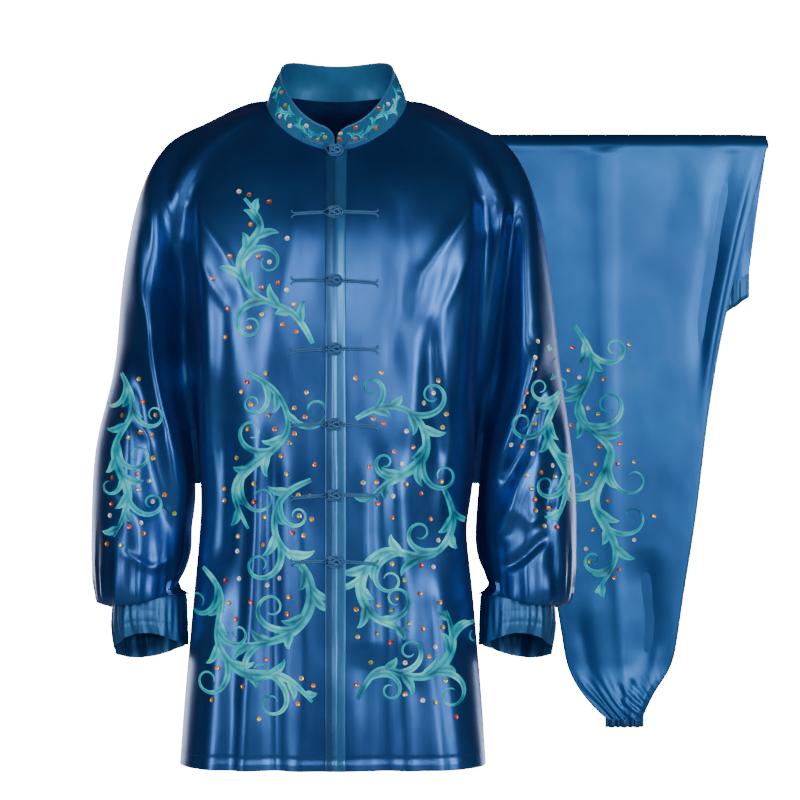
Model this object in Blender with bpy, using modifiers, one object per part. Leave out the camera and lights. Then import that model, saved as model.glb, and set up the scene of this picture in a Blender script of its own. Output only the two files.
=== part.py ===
"""Tai chi uniform at its real size: a kimono-cut satin jacket, hollow and held as it is worn, and its
trousers, folded over a plain rod behind it. Metres, +Z up, and the front faces -Y. The origin is the
middle of the neck opening at shoulder height, where the wearer carries the jacket. Left and right are
the wearer's, so the wearer's right front lies at -X."""

import math
from collections import namedtuple

import bmesh
import bpy
import numpy as np
from mathutils import Vector
from mathutils.bvhtree import BVHTree

MM = 0.001  # tables and sizes are in millimetres, and become metres where a mesh is made

# Cloth and seams
WALL = 1.2  # satin with its seam allowances, the thinnest wall that is kept
COLLAR_WALL = 1.6  # two layers over an interlining
BAND_WALL = 1.3
SEAM_GAP = 0.3
COLLAR_GAP = 1.7  # wider outside, because the walls lean towards each other inside
CENTRE_GAP = 0.6  # half the gap between the two front edges

# Neck seam and collar: half width, depth and centre, then heights as mean, tilt and saddle terms
NECK_HALF_WIDTH = 81.0
NECK_HALF_DEPTH = 70.0
NECK_CENTRE_Y = -8.0
NECK_HEIGHTS = (0.25, -34.5, -12.75)
COLLAR_TOP_HALF_WIDTH = 66.0
COLLAR_TOP_HALF_DEPTH = 56.0
COLLAR_TOP_CENTRE_Y = -6.0
COLLAR_TOP_HEIGHTS = (33.75, -41.5, -14.25)
COLLAR_CORNER = 17.0  # the rounding of the collar's front corners
COLLAR_END_ANGLE = 1.5  # degrees that each end stops short of the centre front

# The jacket's rings run through these columns, from the centre front round to the centre back.
COLUMNS = (
    "centre_front", "front", "front_edge", "front_side", "front_inner", "sleeve_front", "outer",
    "sleeve_back", "back_inner", "back_side", "back_edge", "back", "centre_back",
)
FRONT_SIDE, FRONT_INNER, OUTER, BACK_INNER, BACK_SIDE = (
    COLUMNS.index(name) for name in ("front_side", "front_inner", "outer", "back_inner", "back_side")
)
CENTRE_BACK = len(COLUMNS) - 1
BODY_COLUMNS = [*range(FRONT_SIDE + 1), *range(BACK_SIDE, CENTRE_BACK + 1)]
WING_COLUMNS = list(range(FRONT_INNER, BACK_INNER + 1))
NECK_ANGLES = (0, 30, 55, 73, 77, 83, 90, 97, 103, 107, 128, 155, 180)  # degrees from the front

# From the neck to the underarm one ring holds body and both sleeves. Points are across, depth, height.
# centre and back give depth first: back is its depth and how much higher it lies than the front.
Upper = namedtuple("Upper", "centre edge recess sleeve outer back")
UPPER_SECTIONS = (
    Upper((-90, -76), (94, -60, -38), (106, -36, -14), (110, -20, -3), (112, -3, 4), (82, 70)),
    Upper((-102, -112), (130, -68, -66), (144, -48, -44), (151, -26, -25), (155, 0, -12), (97, 60)),
    Upper((-113, -155), (155, -80, -116), (172, -56, -92), (186, -34, -64), (195, 2, -33), (105, 47)),
    Upper((-121, -205), (154, -87, -180), (183, -46, -160), (206, -50, -124), (224, 4, -80), (107, 35)),
    Upper((-127, -262), (151, -85, -246), (180, -32, -234), (211, -60, -196), (241, 5, -146), (105, 26)),
    Upper((-129, -322), (149, -79, -316), (171, -15, -322), (213, -66, -270), (251, 5, -220), (101, 20)),
    Upper((-129, -385), (144, -72, -388), (161, 5, -428), (213, -69, -348), (259, 5, -298), (97, 17)),
)
UNDERARM_ROW = len(UPPER_SECTIONS)
SEAM_HALF_GAP = 0.3  # half of what parts front from back at the sides and under the sleeves
UNDERARM_HALF_GAP = 1.5  # the same at the underarm, where the two walls lie face to face
RECESS_HALF_WIDTH = 3.5  # the recess has a narrow floor between body and sleeve
BLEND_FROM = 5.5  # the row from which body and sleeve begin to turn into rings of their own

# Below the underarm the body is a ring of its own.
Body = namedtuple("Body", "centre edge side back")
BODY_SECTIONS = (
    Body((-128, -450), (142, -72, -452), (155, 4, -486), (99, 10)),
    Body((-127, -518), (147, -74, -520), (160, 3, -540), (104, 6)),
    Body((-127, -592), (153, -77, -594), (166, 2, -604), (113, 5)),
    Body((-129, -668), (160, -82, -669), (171, 0, -674), (121, 5)),
    Body((-131, -745), (166, -88, -745), (174, -2, -744), (127, 6)),
)
VENT_TOP = -605.0
# How far each side hangs outwards of its section, by side: the body's sides and the sleeves
BODY_SWAY = {-1: 3.0, 1: -5.0}
SLEEVE_SWAY = {-1: 6.0, 1: -1.0}
VENT_FRONT, VENT_BACK = 26.0, 22.0  # how far the hem's corners part from the side line

# The sleeve from the underarm to where it tucks under and meets the cuff, and then the cuff.
Sleeve = namedtuple("Sleeve", "inner front outer back")
SLEEVE_SECTIONS = (
    Sleeve((162, 3, -476), (216, -74, -424), (271, 3, -374), (222, 60, -412)),
    Sleeve((164, 0, -508), (219, -77, -482), (277, -1, -442), (224, 56, -470)),
    Sleeve((173, -6, -532), (221, -79, -528), (277, -7, -504), (224, 48, -522)),
    Sleeve((176, -12, -545), (220, -77, -561), (270, -14, -562), (221, 40, -572)),
    Sleeve((165, -16, -554), (212, -62, -550), (255, -18, -557), (213, 28, -566)),
)
CUFF_SECTIONS = (
    Sleeve((166.6, -16, -556.5), (212, -59.2, -553), (252.2, -18, -560), (213, 25.2, -569)),
    Sleeve((166, -19, -588), (210, -62, -577), (254, -20, -592), (211, 25, -601)),
    Sleeve((166, -22, -613), (208, -62, -596), (250, -22, -620), (209, 19, -630)),
)
CUFF_GATHERS = 11
CUFF_GATHER_DEPTH = 1.6

# Shares of the way from the centre front to the front edge at which the column between them runs.
FRONT_ACROSS, FRONT_DEPTH, FRONT_HEIGHT = 0.54, 0.14, 0.26
BACK_CENTRE_Y = 5.0  # the plane that the back's depths mirror about
BACK_LIFT_SHARES = {"centre": 1.0, "front": 0.8, "edge": 0.35, "recess": 0.2, "sleeve": 0.2}

# Folds: a path of points across and up as seen from the front, half width, and depth. Positive depth is
# a ridge, negative a valley. face is -1 for the front and 1 for the back.
Fold = namedtuple("Fold", "name face path width depth")
FOLDS = (
    Fold("right front pleat ridge", -1, ((-86, -330), (-88, -470), (-98, -640)), 12, 8),
    Fold("right front pleat valley", -1, ((-70, -345), (-72, -470), (-68, -620)), 10, -9),
    Fold("right front side valley", -1, ((-126, -350), (-123, -440), (-128, -530)), 10, -7),
    Fold("left front pleat valley", -1, ((50, -350), (50, -480), (62, -640)), 12, -6),
    Fold("left front pleat ridge", -1, ((72, -380), (76, -500), (88, -660)), 15, 6),
    Fold("right chest edge ridge", -1, ((-162, -107), (-151, -207), (-149, -338), (-140, -440)), 11, 6),
    Fold("right chest valley", -1, ((-122, -190), (-126, -300), (-126, -380)), 13, -5),
    Fold("left chest valley", -1, ((104, -230), (112, -330), (120, -430)), 13, -6),
    Fold("right sleeve web valley", -1, ((-178, -150), (-176, -240), (-178, -320)), 13, -12),
    Fold("right sleeve inner ridge", -1, ((-209, -68), (-202, -164), (-196, -250), (-181, -312)), 11, 12),
    Fold("right sleeve outer ridge", -1, ((-217, -95), (-225, -160), (-222, -240)), 12, 4),
    Fold(
        "right sleeve long ridge", -1,
        ((-219, -190), (-197, -297), (-184, -370), (-176, -440), (-174, -515)), 12, 14,
    ),
    Fold("right sleeve middle valley", -1, ((-232, -260), (-214, -370), (-200, -440), (-196, -520)), 13, -8),
    Fold("left shoulder ridge", -1, ((196, -80), (185, -160), (174, -258), (163, -354)), 11, 13),
    Fold("left shoulder valley", -1, ((208, -90), (197, -170), (187, -258), (178, -345)), 11, -12),
    Fold("left sleeve crossing ridge", -1, ((236, -250), (216, -331), (194, -380), (175, -424)), 12, 13),
    Fold("left sleeve crossing valley", -1, ((238, -300), (214, -375), (190, -440)), 11, -11),
    Fold("left sleeve short ridge", -1, ((216, -393), (202, -445), (185, -485), (197, -500)), 7, 6),
    Fold("left sleeve cuff valley", -1, ((190, -526), (214, -508), (242, -482)), 6, -6),
    Fold("left sleeve outer valley", -1, ((252, -330), (246, -420), (232, -490)), 10, -6),
    Fold("right hem ridge", -1, ((-132, -520), (-144, -750)), 18, 7),
    Fold("left hem ridge", -1, ((112, -500), (126, -750)), 20, 7),
    Fold("left hem valley", -1, ((40, -600), (44, -750)), 16, -6),
    Fold("back centre ridge", 1, ((-18, -260), (-26, -745)), 22, 10),
    Fold("back right valley", 1, ((-66, -200), (-84, -745)), 20, -11),
    Fold("back right ridge", 1, ((-108, -280), (-134, -745)), 18, 9),
    Fold("back left valley", 1, ((48, -240), (56, -745)), 20, -11),
    Fold("back left ridge", 1, ((92, -220), (110, -745)), 20, 10),
    Fold("back right arm ridge", 1, ((-202, -80), (-206, -240), (-184, -400)), 11, 11),
    Fold("back left arm ridge", 1, ((200, -80), (208, -260), (182, -410)), 11, 11),
    Fold("back right arm valley", 1, ((-176, -110), (-180, -300), (-168, -390)), 12, -11),
    Fold("back left arm valley", 1, ((176, -110), (182, -320)), 12, -11),
    Fold("back right sleeve valley", 1, ((-240, -300), (-226, -500)), 13, -7),
    Fold("back left sleeve valley", 1, ((240, -290), (230, -420), (206, -510)), 13, -7),
)
FOLD_FADE_DEPTH = 55.0  # folds die out over this depth from the plane of the sides
FOLD_END_SHARE = 0.22  # share of a fold's length over which each end dies out

# Front edges, button knots and their loops
BANDS = {-1: 10.5, 1: 12.5}  # width of each front's band, by side
FROG_HEIGHTS = (-120, -197, -274, -358, -437, -511)  # below the one at the collar
FROG_REACH = 48.5  # from the middle to the end of a strap
FROG_END = 4.6  # the strap's two cords turn up and down this far at its end
FROG_CORD = 1.9
FROG_LANE = 1.15  # each cord's distance from the strap's middle
FROG_STOPS = (30.0, 14.5)  # where the strap bends to the cloth, from the middle
KNOT = (8.6, 5.2, 6.0)  # half width, depth and height of a button knot
COLLAR_FROG_ANGLE = 27.0  # degrees round the neck that the top frog's straps reach
COLLAR_FROG_SHARE = 0.165  # how far up the collar they run

# Trousers, hung over the rod. Outline rows run down the front: height, left edge, right edge.
ROD_RADIUS = 9.0
ROD_CENTRE = (345.0, -9.5)  # depth and height
ROD_ENDS = (95.0, 535.0)
LEG_LAYER = 5.0  # the two layers of one flattened leg
LEG_OUTLINE = (
    (0, 127, 543), (-72, 146, 525), (-135, 164, 509), (-254, 194, 482), (-372, 222, 463),
    (-486, 248, 449), (-588, 272, 433), (-642, 281, 425), (-679, 290, 414), (-701, 302, 400),
    (-722, 319, 389), (-738, 336, 382),
)
LEG_STATIONS = 13  # down the front of a leg
LEG_ACROSS = 12  # points across each face of a leg
LEG_FOOT_SWELL = 9.0  # how much thicker the gathered foot is than the flat leg
FAR_LEG_SHIFT = 2.5  # the far leg shows this much past the near one
WAIST_LINE = ((127, -266), (300, -276), (430, -256), (521, -200))  # across, height
WAIST_NARROWING = (40.0, -22.0)  # what the left and right edges lose from the rod down to the waist
WAISTBAND_HEIGHT = 32.0
WAIST_GAP = 0.9
WAISTBAND_GATHERS = 20
ANKLE_HEM_HEIGHT = 11.0
ANKLE_GATHERS = 6

Finish = namedtuple("Finish", "name colour roughness metallic")
SATIN = Finish("blue_satin", (0.035, 0.135, 0.330), 0.34, 0.35)
SATIN_CORD = Finish("satin_cord", (0.025, 0.100, 0.240), 0.42, 0.20)
ROD_METAL = Finish("brushed_steel", (0.62, 0.62, 0.60), 0.35, 1.0)


def natural_spline(stations, points, at):
    """The smooth curve through points, which stand at stations, read off at the stations in at."""
    x, y = np.asarray(stations, float), np.asarray(points, float)
    at = np.asarray(at, float)
    step = np.diff(x)
    count = len(x)
    system, load = np.eye(count), np.zeros_like(y)
    for i in range(1, count - 1):
        system[i, i - 1 : i + 2] = step[i - 1], 2 * (step[i - 1] + step[i]), step[i]
        load[i] = 6 * ((y[i + 1] - y[i]) / step[i] - (y[i] - y[i - 1]) / step[i - 1])
    bend = np.linalg.solve(system, load.reshape(count, -1)).reshape(y.shape)
    i = np.clip(np.searchsorted(x, at, side="right") - 1, 0, count - 2)
    wide = (slice(None),) + (None,) * (y.ndim - 1)
    right = ((at - x[i]) / step[i])[wide]
    left = 1 - right
    curve = (left**3 - left) * bend[i] + (right**3 - right) * bend[i + 1]
    return left * y[i] + right * y[i + 1] + curve * (step[i] ** 2)[wide] / 6


def smooth(share):
    """0 below 0, 1 above 1, and an even rise between."""
    share = np.clip(share, 0, 1)
    return share * share * (3 - 2 * share)


def neck_ring(angles, half_width, half_depth, centre_y, heights):
    """Points of a neckline at angles in degrees from the centre front: an oval with a tilt and a saddle."""
    turn = np.radians(angles)
    mean, tilt, saddle = heights
    z = mean + tilt * np.cos(turn) + saddle * np.cos(2 * turn)
    return np.stack([half_width * np.sin(turn), centre_y - half_depth * np.cos(turn), z], axis=-1)


def front_column(centre, edge):
    """The point between the centre front and the front edge."""
    return (
        FRONT_ACROSS * edge[0],
        centre[1] + FRONT_DEPTH * (edge[1] - centre[1]),
        centre[2] + FRONT_HEIGHT * (edge[2] - centre[2]),
    )


def ring_row(section, row):
    """One row of the jacket's net: a point for each column, for the wearer's left half."""
    centre = (CENTRE_GAP, *section.centre)
    back_y, lift = section.back
    ratio = (back_y - BACK_CENTRE_Y) / (BACK_CENTRE_Y - section.centre[0])

    def behind(point, part):
        x, y, z = point
        return (x, BACK_CENTRE_Y + ratio * (BACK_CENTRE_Y - y), z + BACK_LIFT_SHARES[part] * lift)

    front = front_column(centre, section.edge)
    centre_back = behind(centre, "centre")
    body_back = [behind(section.edge, "edge"), behind(front, "front"), centre_back]
    if isinstance(section, Body):
        x, y, z = section.side
        sides = [(x, y - SEAM_HALF_GAP, z), (x, y + SEAM_HALF_GAP, z)]
        return [centre, front, section.edge, sides[0]], [sides[1], *body_back]
    x, y, z = section.recess
    near, far = (x, y, z), behind(section.recess, "recess")
    if row == UNDERARM_ROW:
        near, far = (x, y - UNDERARM_HALF_GAP, z), (x, y + UNDERARM_HALF_GAP, z)
    shift = np.array([RECESS_HALF_WIDTH * min(1.0, row / 3), 0, 0])
    recess = [near - shift, near + shift, far + shift, far - shift]
    sleeve_back = behind(section.sleeve, "sleeve")
    wing = [recess[1], section.sleeve, section.outer, sleeve_back, recess[2]]
    return [centre, front, section.edge, recess[0]], wing, [recess[3], *body_back]


def sleeve_row(section):
    """The five wing columns of one sleeve or cuff ring, from the inner front round to the inner back."""
    x, y, z = section.inner
    near, far = (x, y - SEAM_HALF_GAP, z), (x, y + SEAM_HALF_GAP, z)
    return [near, section.front, section.outer, section.back, far]


def jacket_net(side):
    """One half of the jacket's net, as rows by columns by three, with x outwards. Past the underarm row the
    body columns go down the body, and the wing columns down the sleeve."""
    neck = neck_ring(NECK_ANGLES, NECK_HALF_WIDTH, NECK_HALF_DEPTH, NECK_CENTRE_Y, NECK_HEIGHTS)
    neck[:, 0] = np.maximum(neck[:, 0], CENTRE_GAP)
    rows = [neck]
    for row, section in enumerate(UPPER_SECTIONS, start=1):
        front, wing, back = ring_row(section, row)
        rows.append([*front, *wing, *back])
    for body, sleeve in zip(BODY_SECTIONS, SLEEVE_SECTIONS):
        front, back = ring_row(body, None)
        rows.append([*front, *sleeve_row(sleeve), *back])
    net = np.array([np.array(row, float) for row in rows])
    lower = slice(UNDERARM_ROW + 1, None)
    net[lower, [FRONT_SIDE, BACK_SIDE], 0] += BODY_SWAY[side]
    net[lower, [FRONT_SIDE - 1, BACK_SIDE + 1], 0] += 0.6 * BODY_SWAY[side]
    net[lower, FRONT_INNER : BACK_INNER + 1, 0] += SLEEVE_SWAY[side]
    return net


NETS = {side: jacket_net(side) for side in (-1, 1)}
LAST_ROW = len(NETS[1]) - 1


def travelled(points):
    """How far each point lies along the chain of points."""
    return np.concatenate([[0], np.cumsum(np.linalg.norm(np.diff(points, axis=0), axis=1))])


def open_curve(net_row, columns, at):
    """The curve through some columns of one row, at the places in at, given in column numbers."""
    stations = travelled(net_row[columns])
    return natural_spline(stations, net_row[columns], np.interp(at, columns, stations))


def closed_curve(ring, shares):
    """The closed curve through a ring's points, at shares of the way round from the first one. A share is
    counted in points, so 1.5 lies between the second and the third."""
    count = len(ring)
    stations = travelled(np.concatenate([ring, ring[:1]]))
    length = stations[-1]
    wide = np.concatenate([stations[:-1] - length, stations[:-1], stations[:-1] + length])
    return natural_spline(wide, np.tile(ring, (3, 1)), np.interp(shares, range(count + 1), stations))


def fold_shift(points):
    """How far the folds move points, across and in depth: each is a soft ridge or valley along its path."""
    shift = np.zeros_like(points)
    across_up = points[..., [0, 2]]
    for fold in FOLDS:
        path = np.array(fold.path, float)
        lengths = np.linalg.norm(np.diff(path, axis=0), axis=1)
        nearest = np.full(points.shape[:-1], np.inf)
        reached = np.zeros(points.shape[:-1])
        before = 0.0
        for start, end, length in zip(path[:-1], path[1:], lengths):
            along = ((across_up - start) @ (end - start)) / length**2
            along = np.clip(along, 0, 1)
            away = np.linalg.norm(across_up - (start + along[..., None] * (end - start)), axis=-1)
            closer = away < nearest
            reached = np.where(closer, before + along * length, reached)
            nearest = np.where(closer, away, nearest)
            before += length
        share = reached / lengths.sum()
        open_end = path[-1, 1] < UPPER_SECTIONS[-1].edge[2] - 300  # a fold that runs out at the hem
        ends = smooth(share / FOLD_END_SHARE)
        if not open_end:
            ends = ends * smooth((1 - share) / FOLD_END_SHARE)
        facing = smooth(fold.face * (points[..., 1] - BACK_CENTRE_Y) / FOLD_FADE_DEPTH)
        height = fold.depth * np.exp(-((nearest / fold.width) ** 2)) * ends * facing
        shift[..., 1] += fold.face * height
    return shift


def seam_gap(place):
    """Half of what parts front from back at a row below the underarm."""
    return SEAM_HALF_GAP + (UNDERARM_HALF_GAP - SEAM_HALF_GAP) * float(smooth(1 - (place - UNDERARM_ROW)))


def net_rows(side, row_places):
    """The net's rows at places, with the seam points below the underarm the seam's gap apart."""
    rows = natural_spline(range(LAST_ROW + 1), NETS[side], row_places)
    for row, place in zip(rows, row_places):
        if place >= UNDERARM_ROW:
            for front, back in ((FRONT_SIDE, BACK_SIDE), (FRONT_INNER, BACK_INNER)):
                middle, gap = (row[front] + row[back]) / 2, np.array([0, seam_gap(place), 0])
                row[front], row[back] = middle - gap, middle + gap
    return rows


def drape(side, column_places, row_places):
    """Points of the jacket's outer surface, in millimetres, as rows by columns by three. side is 1 for the
    wearer's left and -1 for the right. Places are given in net numbers, such as 6.5: one for each row, and
    for each column either one, or one in each row."""
    row_places = np.asarray(row_places, float)
    places = np.broadcast_to(column_places, (len(row_places), np.shape(column_places)[-1]))
    rows = net_rows(side, row_places)
    points = np.zeros((*places.shape, 3))
    for i, (row, place) in enumerate(zip(rows, row_places)):
        at = places[i]
        wing = (at >= FRONT_INNER) & (at <= BACK_INNER)
        floor = ((at > FRONT_SIDE) & (at < FRONT_INNER)) | ((at > BACK_INNER) & (at < BACK_SIDE))
        whole = open_curve(row, list(range(len(COLUMNS))), at)
        around = closed_curve(row[WING_COLUMNS], np.clip(at - FRONT_INNER, 0, len(WING_COLUMNS) - 1))
        parted = np.where(wing[:, None], around, open_curve(row, BODY_COLUMNS, at))
        weight = float(smooth((place - BLEND_FROM) / (UNDERARM_ROW - BLEND_FROM)))
        weights = np.where(floor, 0.0, weight)[:, None]
        points[i] = (1 - weights) * whole + weights * parted
    points[..., 0] *= side
    points += fold_shift(points)
    keep_seams_apart(points, places, row_places, rows)
    return points


def keep_seams_apart(points, places, row_places, rows):
    """Keeps front and back to their own side of the seams below the underarm, and parts them at the vents."""
    body = (places <= FRONT_SIDE) | (places >= BACK_SIDE)
    in_front = places <= OUTER
    for i, (row, place) in enumerate(zip(rows, row_places)):
        if place < UNDERARM_ROW - 1:
            continue
        body_y = row[[FRONT_SIDE, BACK_SIDE], 1].mean()
        sleeve_y = row[[FRONT_INNER, BACK_INNER], 1].mean()
        seam_y = np.where(body[i], body_y, sleeve_y)
        if place < UNDERARM_ROW:
            seam_y[:] = BACK_CENTRE_Y
        gap = seam_gap(place)
        y = points[i, :, 1]
        near_seam = np.abs(places[i] - np.where(in_front[i], FRONT_SIDE + 0.5, BACK_INNER + 0.5)) < 1.2
        at_edge = np.isin(places[i], [FRONT_SIDE, FRONT_INNER, BACK_INNER, BACK_SIDE])
        front = np.where(at_edge & (place >= UNDERARM_ROW), seam_y - gap, np.minimum(y, seam_y - gap))
        back = np.where(at_edge & (place >= UNDERARM_ROW), seam_y + gap, np.maximum(y, seam_y + gap))
        y[:] = np.where(near_seam, np.where(in_front[i], front, back), y)
    drop = np.clip((VENT_TOP - points[..., 2]) / (VENT_TOP - BODY_SECTIONS[-1].side[2]), 0, None)
    nearness = smooth(1 - np.abs(places - np.where(in_front, FRONT_SIDE, BACK_SIDE)) / 0.9)
    opening = np.where(in_front, -VENT_FRONT, VENT_BACK) * nearness * drop**1.5
    points[..., 1] += np.where(body, opening, 0)


def material_of(finish):
    material = bpy.data.materials.get(finish.name) or bpy.data.materials.new(finish.name)
    material.use_nodes = True
    shader = material.node_tree.nodes["Principled BSDF"]
    shader.inputs["Base Color"].default_value = (*finish.colour, 1)
    shader.inputs["Roughness"].default_value = finish.roughness
    shader.inputs["Metallic"].default_value = finish.metallic
    return material


def add_object(name, mesh, finish, is_smooth=True):
    mesh.materials.append(material_of(finish))
    if is_smooth:
        mesh.shade_smooth()
    obj = bpy.data.objects.new(name, mesh)
    uniform.objects.link(obj)
    return obj


def grid_mesh(name, points, away_from, drop=None, closed=False):
    """A grid primitive whose points are moved to the rows by columns of points. drop(row, column) tells
    which cells go, by their lowest row and column. closed joins the last column to the first. The faces
    are turned to look away from a point."""
    rows, columns = points.shape[:2]
    mesh = bmesh.new()
    bmesh.ops.create_grid(mesh, x_segments=columns - 1, y_segments=rows - 1, size=0.5)
    cells = {}
    for face in mesh.faces:
        middle = face.calc_center_median()
        cells[face] = int((middle.y + 0.5) * (rows - 1)), int((middle.x + 0.5) * (columns - 1))
    for vertex in mesh.verts:
        column = round((vertex.co.x + 0.5) * (columns - 1))
        row = round((vertex.co.y + 0.5) * (rows - 1))
        vertex.co = Vector(points[row, column]) * MM
    if drop:
        gone = [face for face, cell in cells.items() if drop(*cell)]
        bmesh.ops.delete(mesh, geom=gone, context="FACES")
    if closed:
        bmesh.ops.remove_doubles(mesh, verts=mesh.verts, dist=0.01 * MM)
    mesh.normal_update()
    inside = Vector(away_from) * MM
    facing = [f.normal.dot(f.calc_center_median() - inside) * f.calc_area() for f in mesh.faces]
    if sum(facing) < 0:
        bmesh.ops.reverse_faces(mesh, faces=mesh.faces)
    data = bpy.data.meshes.new(name)
    mesh.to_mesh(data)
    mesh.free()
    return data


def thicken(obj, wall):
    """Gives an open surface its wall, on the inner side."""
    modifier = obj.modifiers.new("wall", "SOLIDIFY")
    modifier.thickness = wall * MM
    modifier.offset = -1
    return obj


def spread(*stops):
    """Places along a net: pairs of a place and the number of steps that lead to it from the one before."""
    places = [stops[0][0]]
    for place, steps in stops[1:]:
        places += list(np.linspace(places[-1], place, steps + 1)[1:])
    return places


SEAM_STEP = 0.006  # half of what parts two panels along the top of the arm, in net numbers
EDGE_STEP = 0.06  # a narrow last strip keeps the wall square to the cloth at a seam
PANEL_ROWS = spread((0, 0), (1, 2), (UNDERARM_ROW, 10), (LAST_ROW - 2, 5), (LAST_ROW, 4))
UNDERARM_INDEX = PANEL_ROWS.index(UNDERARM_ROW)


def front_places(side):
    """The front panel's columns in each row. The first ones follow the band, which keeps its width."""
    rest = spread((0.4, 0), (1, 2), (2, 5), (FRONT_SIDE - EDGE_STEP, 3), (FRONT_SIDE, 1))
    wing = spread((FRONT_INNER, 0), (FRONT_INNER + EDGE_STEP, 1), (5, 5), (OUTER - EDGE_STEP, 4))
    wing.append(OUTER - SEAM_STEP)
    net = natural_spline(range(LAST_ROW + 1), NETS[side], PANEL_ROWS)
    places = []
    for row in net:
        first = np.linalg.norm(row[1] - row[0])
        band = [0, 0.5 * BANDS[side] / first, BANDS[side] / first]
        places.append([*band, *rest, *wing])
    return np.array(places), len(band) + len(rest) - 1


def back_places():
    """The back panel's columns, from the centre back round to the top of the arm."""
    body = spread((CENTRE_BACK, 0), (11, 3), (10, 4), (BACK_SIDE + EDGE_STEP, 3), (BACK_SIDE, 1))
    wing = spread((BACK_INNER, 0), (BACK_INNER - EDGE_STEP, 1), (7, 5), (OUTER + EDGE_STEP, 4))
    return np.array([*body, *wing, OUTER + SEAM_STEP]), len(body) - 1


def add_panel(name, side, is_front):
    """A front or a back, cut in one with its half of the sleeve. Below the underarm it parts into two."""
    places, side_column = front_places(side) if is_front else back_places()
    points = drape(side, places, PANEL_ROWS)
    mesh = grid_mesh(
        name,
        points,
        (side * 120, BACK_CENTRE_Y, -400),
        drop=lambda row, column: row >= UNDERARM_INDEX and column == side_column,
    )
    return thicken(add_object(name, mesh, SATIN), WALL)


def add_cuff(name, side):
    """The cuff: a short tube whose rim is drawn in by elastic into small gathers."""
    steps = 3 * CUFF_GATHERS
    net = np.array([sleeve_row(section) for section in CUFF_SECTIONS], float)
    rows = natural_spline(range(len(net)), net, np.linspace(0, len(net) - 1, 4))
    points = []
    for row in rows:
        around = np.linspace(0, travelled([*row, row[0]])[-1], steps + 1)
        points.append(closed_curve(row, np.interp(around, travelled([*row, row[0]]), range(len(row) + 1))))
    points = np.array(points)
    middle = points[:, :-1].mean(axis=1, keepdims=True)
    outward = points - middle
    outward[..., 2] = 0
    outward /= np.linalg.norm(outward, axis=-1, keepdims=True)
    wave = np.cos(2 * math.pi * CUFF_GATHERS * np.linspace(0, 1, steps + 1))
    growth = np.array([0, 0.2, 0.6, 1.0])
    points += outward * (CUFF_GATHER_DEPTH * growth[:, None] * wave)[..., None]
    points[:, -1] = points[:, 0]
    points[..., 0] = (points[..., 0] + SLEEVE_SWAY[side]) * side
    mesh = grid_mesh(name, points, (side * 208, -18, -590), closed=True)
    return thicken(add_object(name, mesh, SATIN), WALL)


def collar_rings(angles):
    """Base and top lines of the collar at angles from the centre front."""
    base = neck_ring(angles, NECK_HALF_WIDTH, NECK_HALF_DEPTH, NECK_CENTRE_Y, NECK_HEIGHTS)
    top = neck_ring(
        angles, COLLAR_TOP_HALF_WIDTH, COLLAR_TOP_HALF_DEPTH, COLLAR_TOP_CENTRE_Y, COLLAR_TOP_HEIGHTS
    )
    return base, top


def outward_from_neck(points):
    """Level unit directions from the neck's middle to the points."""
    outward = (points - (0, NECK_CENTRE_Y, 0)) * (1, 1, 0)
    return outward / np.linalg.norm(outward, axis=-1, keepdims=True)


def collar_points(angles, shares):
    """Points of the collar's outer face, rows by angle, with its front corners rounded off."""
    base, top = collar_rings(angles)
    rise = top - base
    height = np.linalg.norm(rise, axis=-1)
    from_end = np.radians(np.minimum(angles, 360 - angles) - COLLAR_END_ANGLE) * NECK_HALF_WIDTH
    inside = np.clip(1 - from_end / COLLAR_CORNER, 0, 1)
    cut = COLLAR_CORNER * (1 - np.sqrt(1 - inside**2))
    usable = 1 - cut / height
    start = COLLAR_GAP / height
    points = []
    for share in shares:
        along = start + share * (usable - start)
        bulge = 1.5 * math.sin(math.pi * share)
        point = base + rise * along[:, None]
        points.append(point + outward_from_neck(base) * bulge)
    return np.array(points)


def add_collar():
    """The stand collar, one band from front end to front end."""
    ends = COLLAR_END_ANGLE + np.array([0, 0.8, 2.4, 5, 8.5])
    angles = np.array([*ends, *np.linspace(18, 342, 27), *(360 - ends[::-1])])
    points = collar_points(angles, (0, 0.5, 1))
    mesh = grid_mesh("collar", points, (0, NECK_CENTRE_Y, -10))
    return thicken(add_object("collar", mesh, SATIN), COLLAR_WALL)


def add_band(name, side, panel):
    """The narrow band that binds a front edge. It is the panel's first columns, moved out."""
    places, _ = front_places(side)
    points = drape(side, places[:, :3], PANEL_ROWS)
    panel.data.update()
    places_of = np.array([vertex.co / MM for vertex in panel.data.vertices])
    normals = np.zeros_like(points)
    for row, column in np.ndindex(points.shape[:2]):
        nearest = np.linalg.norm(places_of - points[row, column], axis=1).argmin()
        normals[row, column] = panel.data.vertices[int(nearest)].normal
    points = points + normals * (SEAM_GAP + BAND_WALL)
    points[0] += (points[1] - points[0]) * 0.12
    mesh = grid_mesh(name, points, (0, 0, -400))
    return thicken(add_object(name, mesh, SATIN), BAND_WALL)


def tree_of(objects):
    """The objects' outer faces, for finding where something lies on them."""
    mesh = bmesh.new()
    for obj in objects:
        mesh.from_mesh(obj.data)
    tree = BVHTree.FromBMesh(mesh)
    mesh.free()
    return tree


def on_front(tree, x, z, proud):
    """The point over the fronts at x and z, proud of the nearest thing to the viewer around it."""
    depths = []
    for step in (-2.2, 0, 2.2):
        hit = tree.ray_cast(Vector((x + step, -400, z)) * MM, Vector((0, 1, 0)))[0]
        if hit:
            depths.append(hit.y / MM)
    return Vector((x, min(depths) - proud, z))


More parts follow.
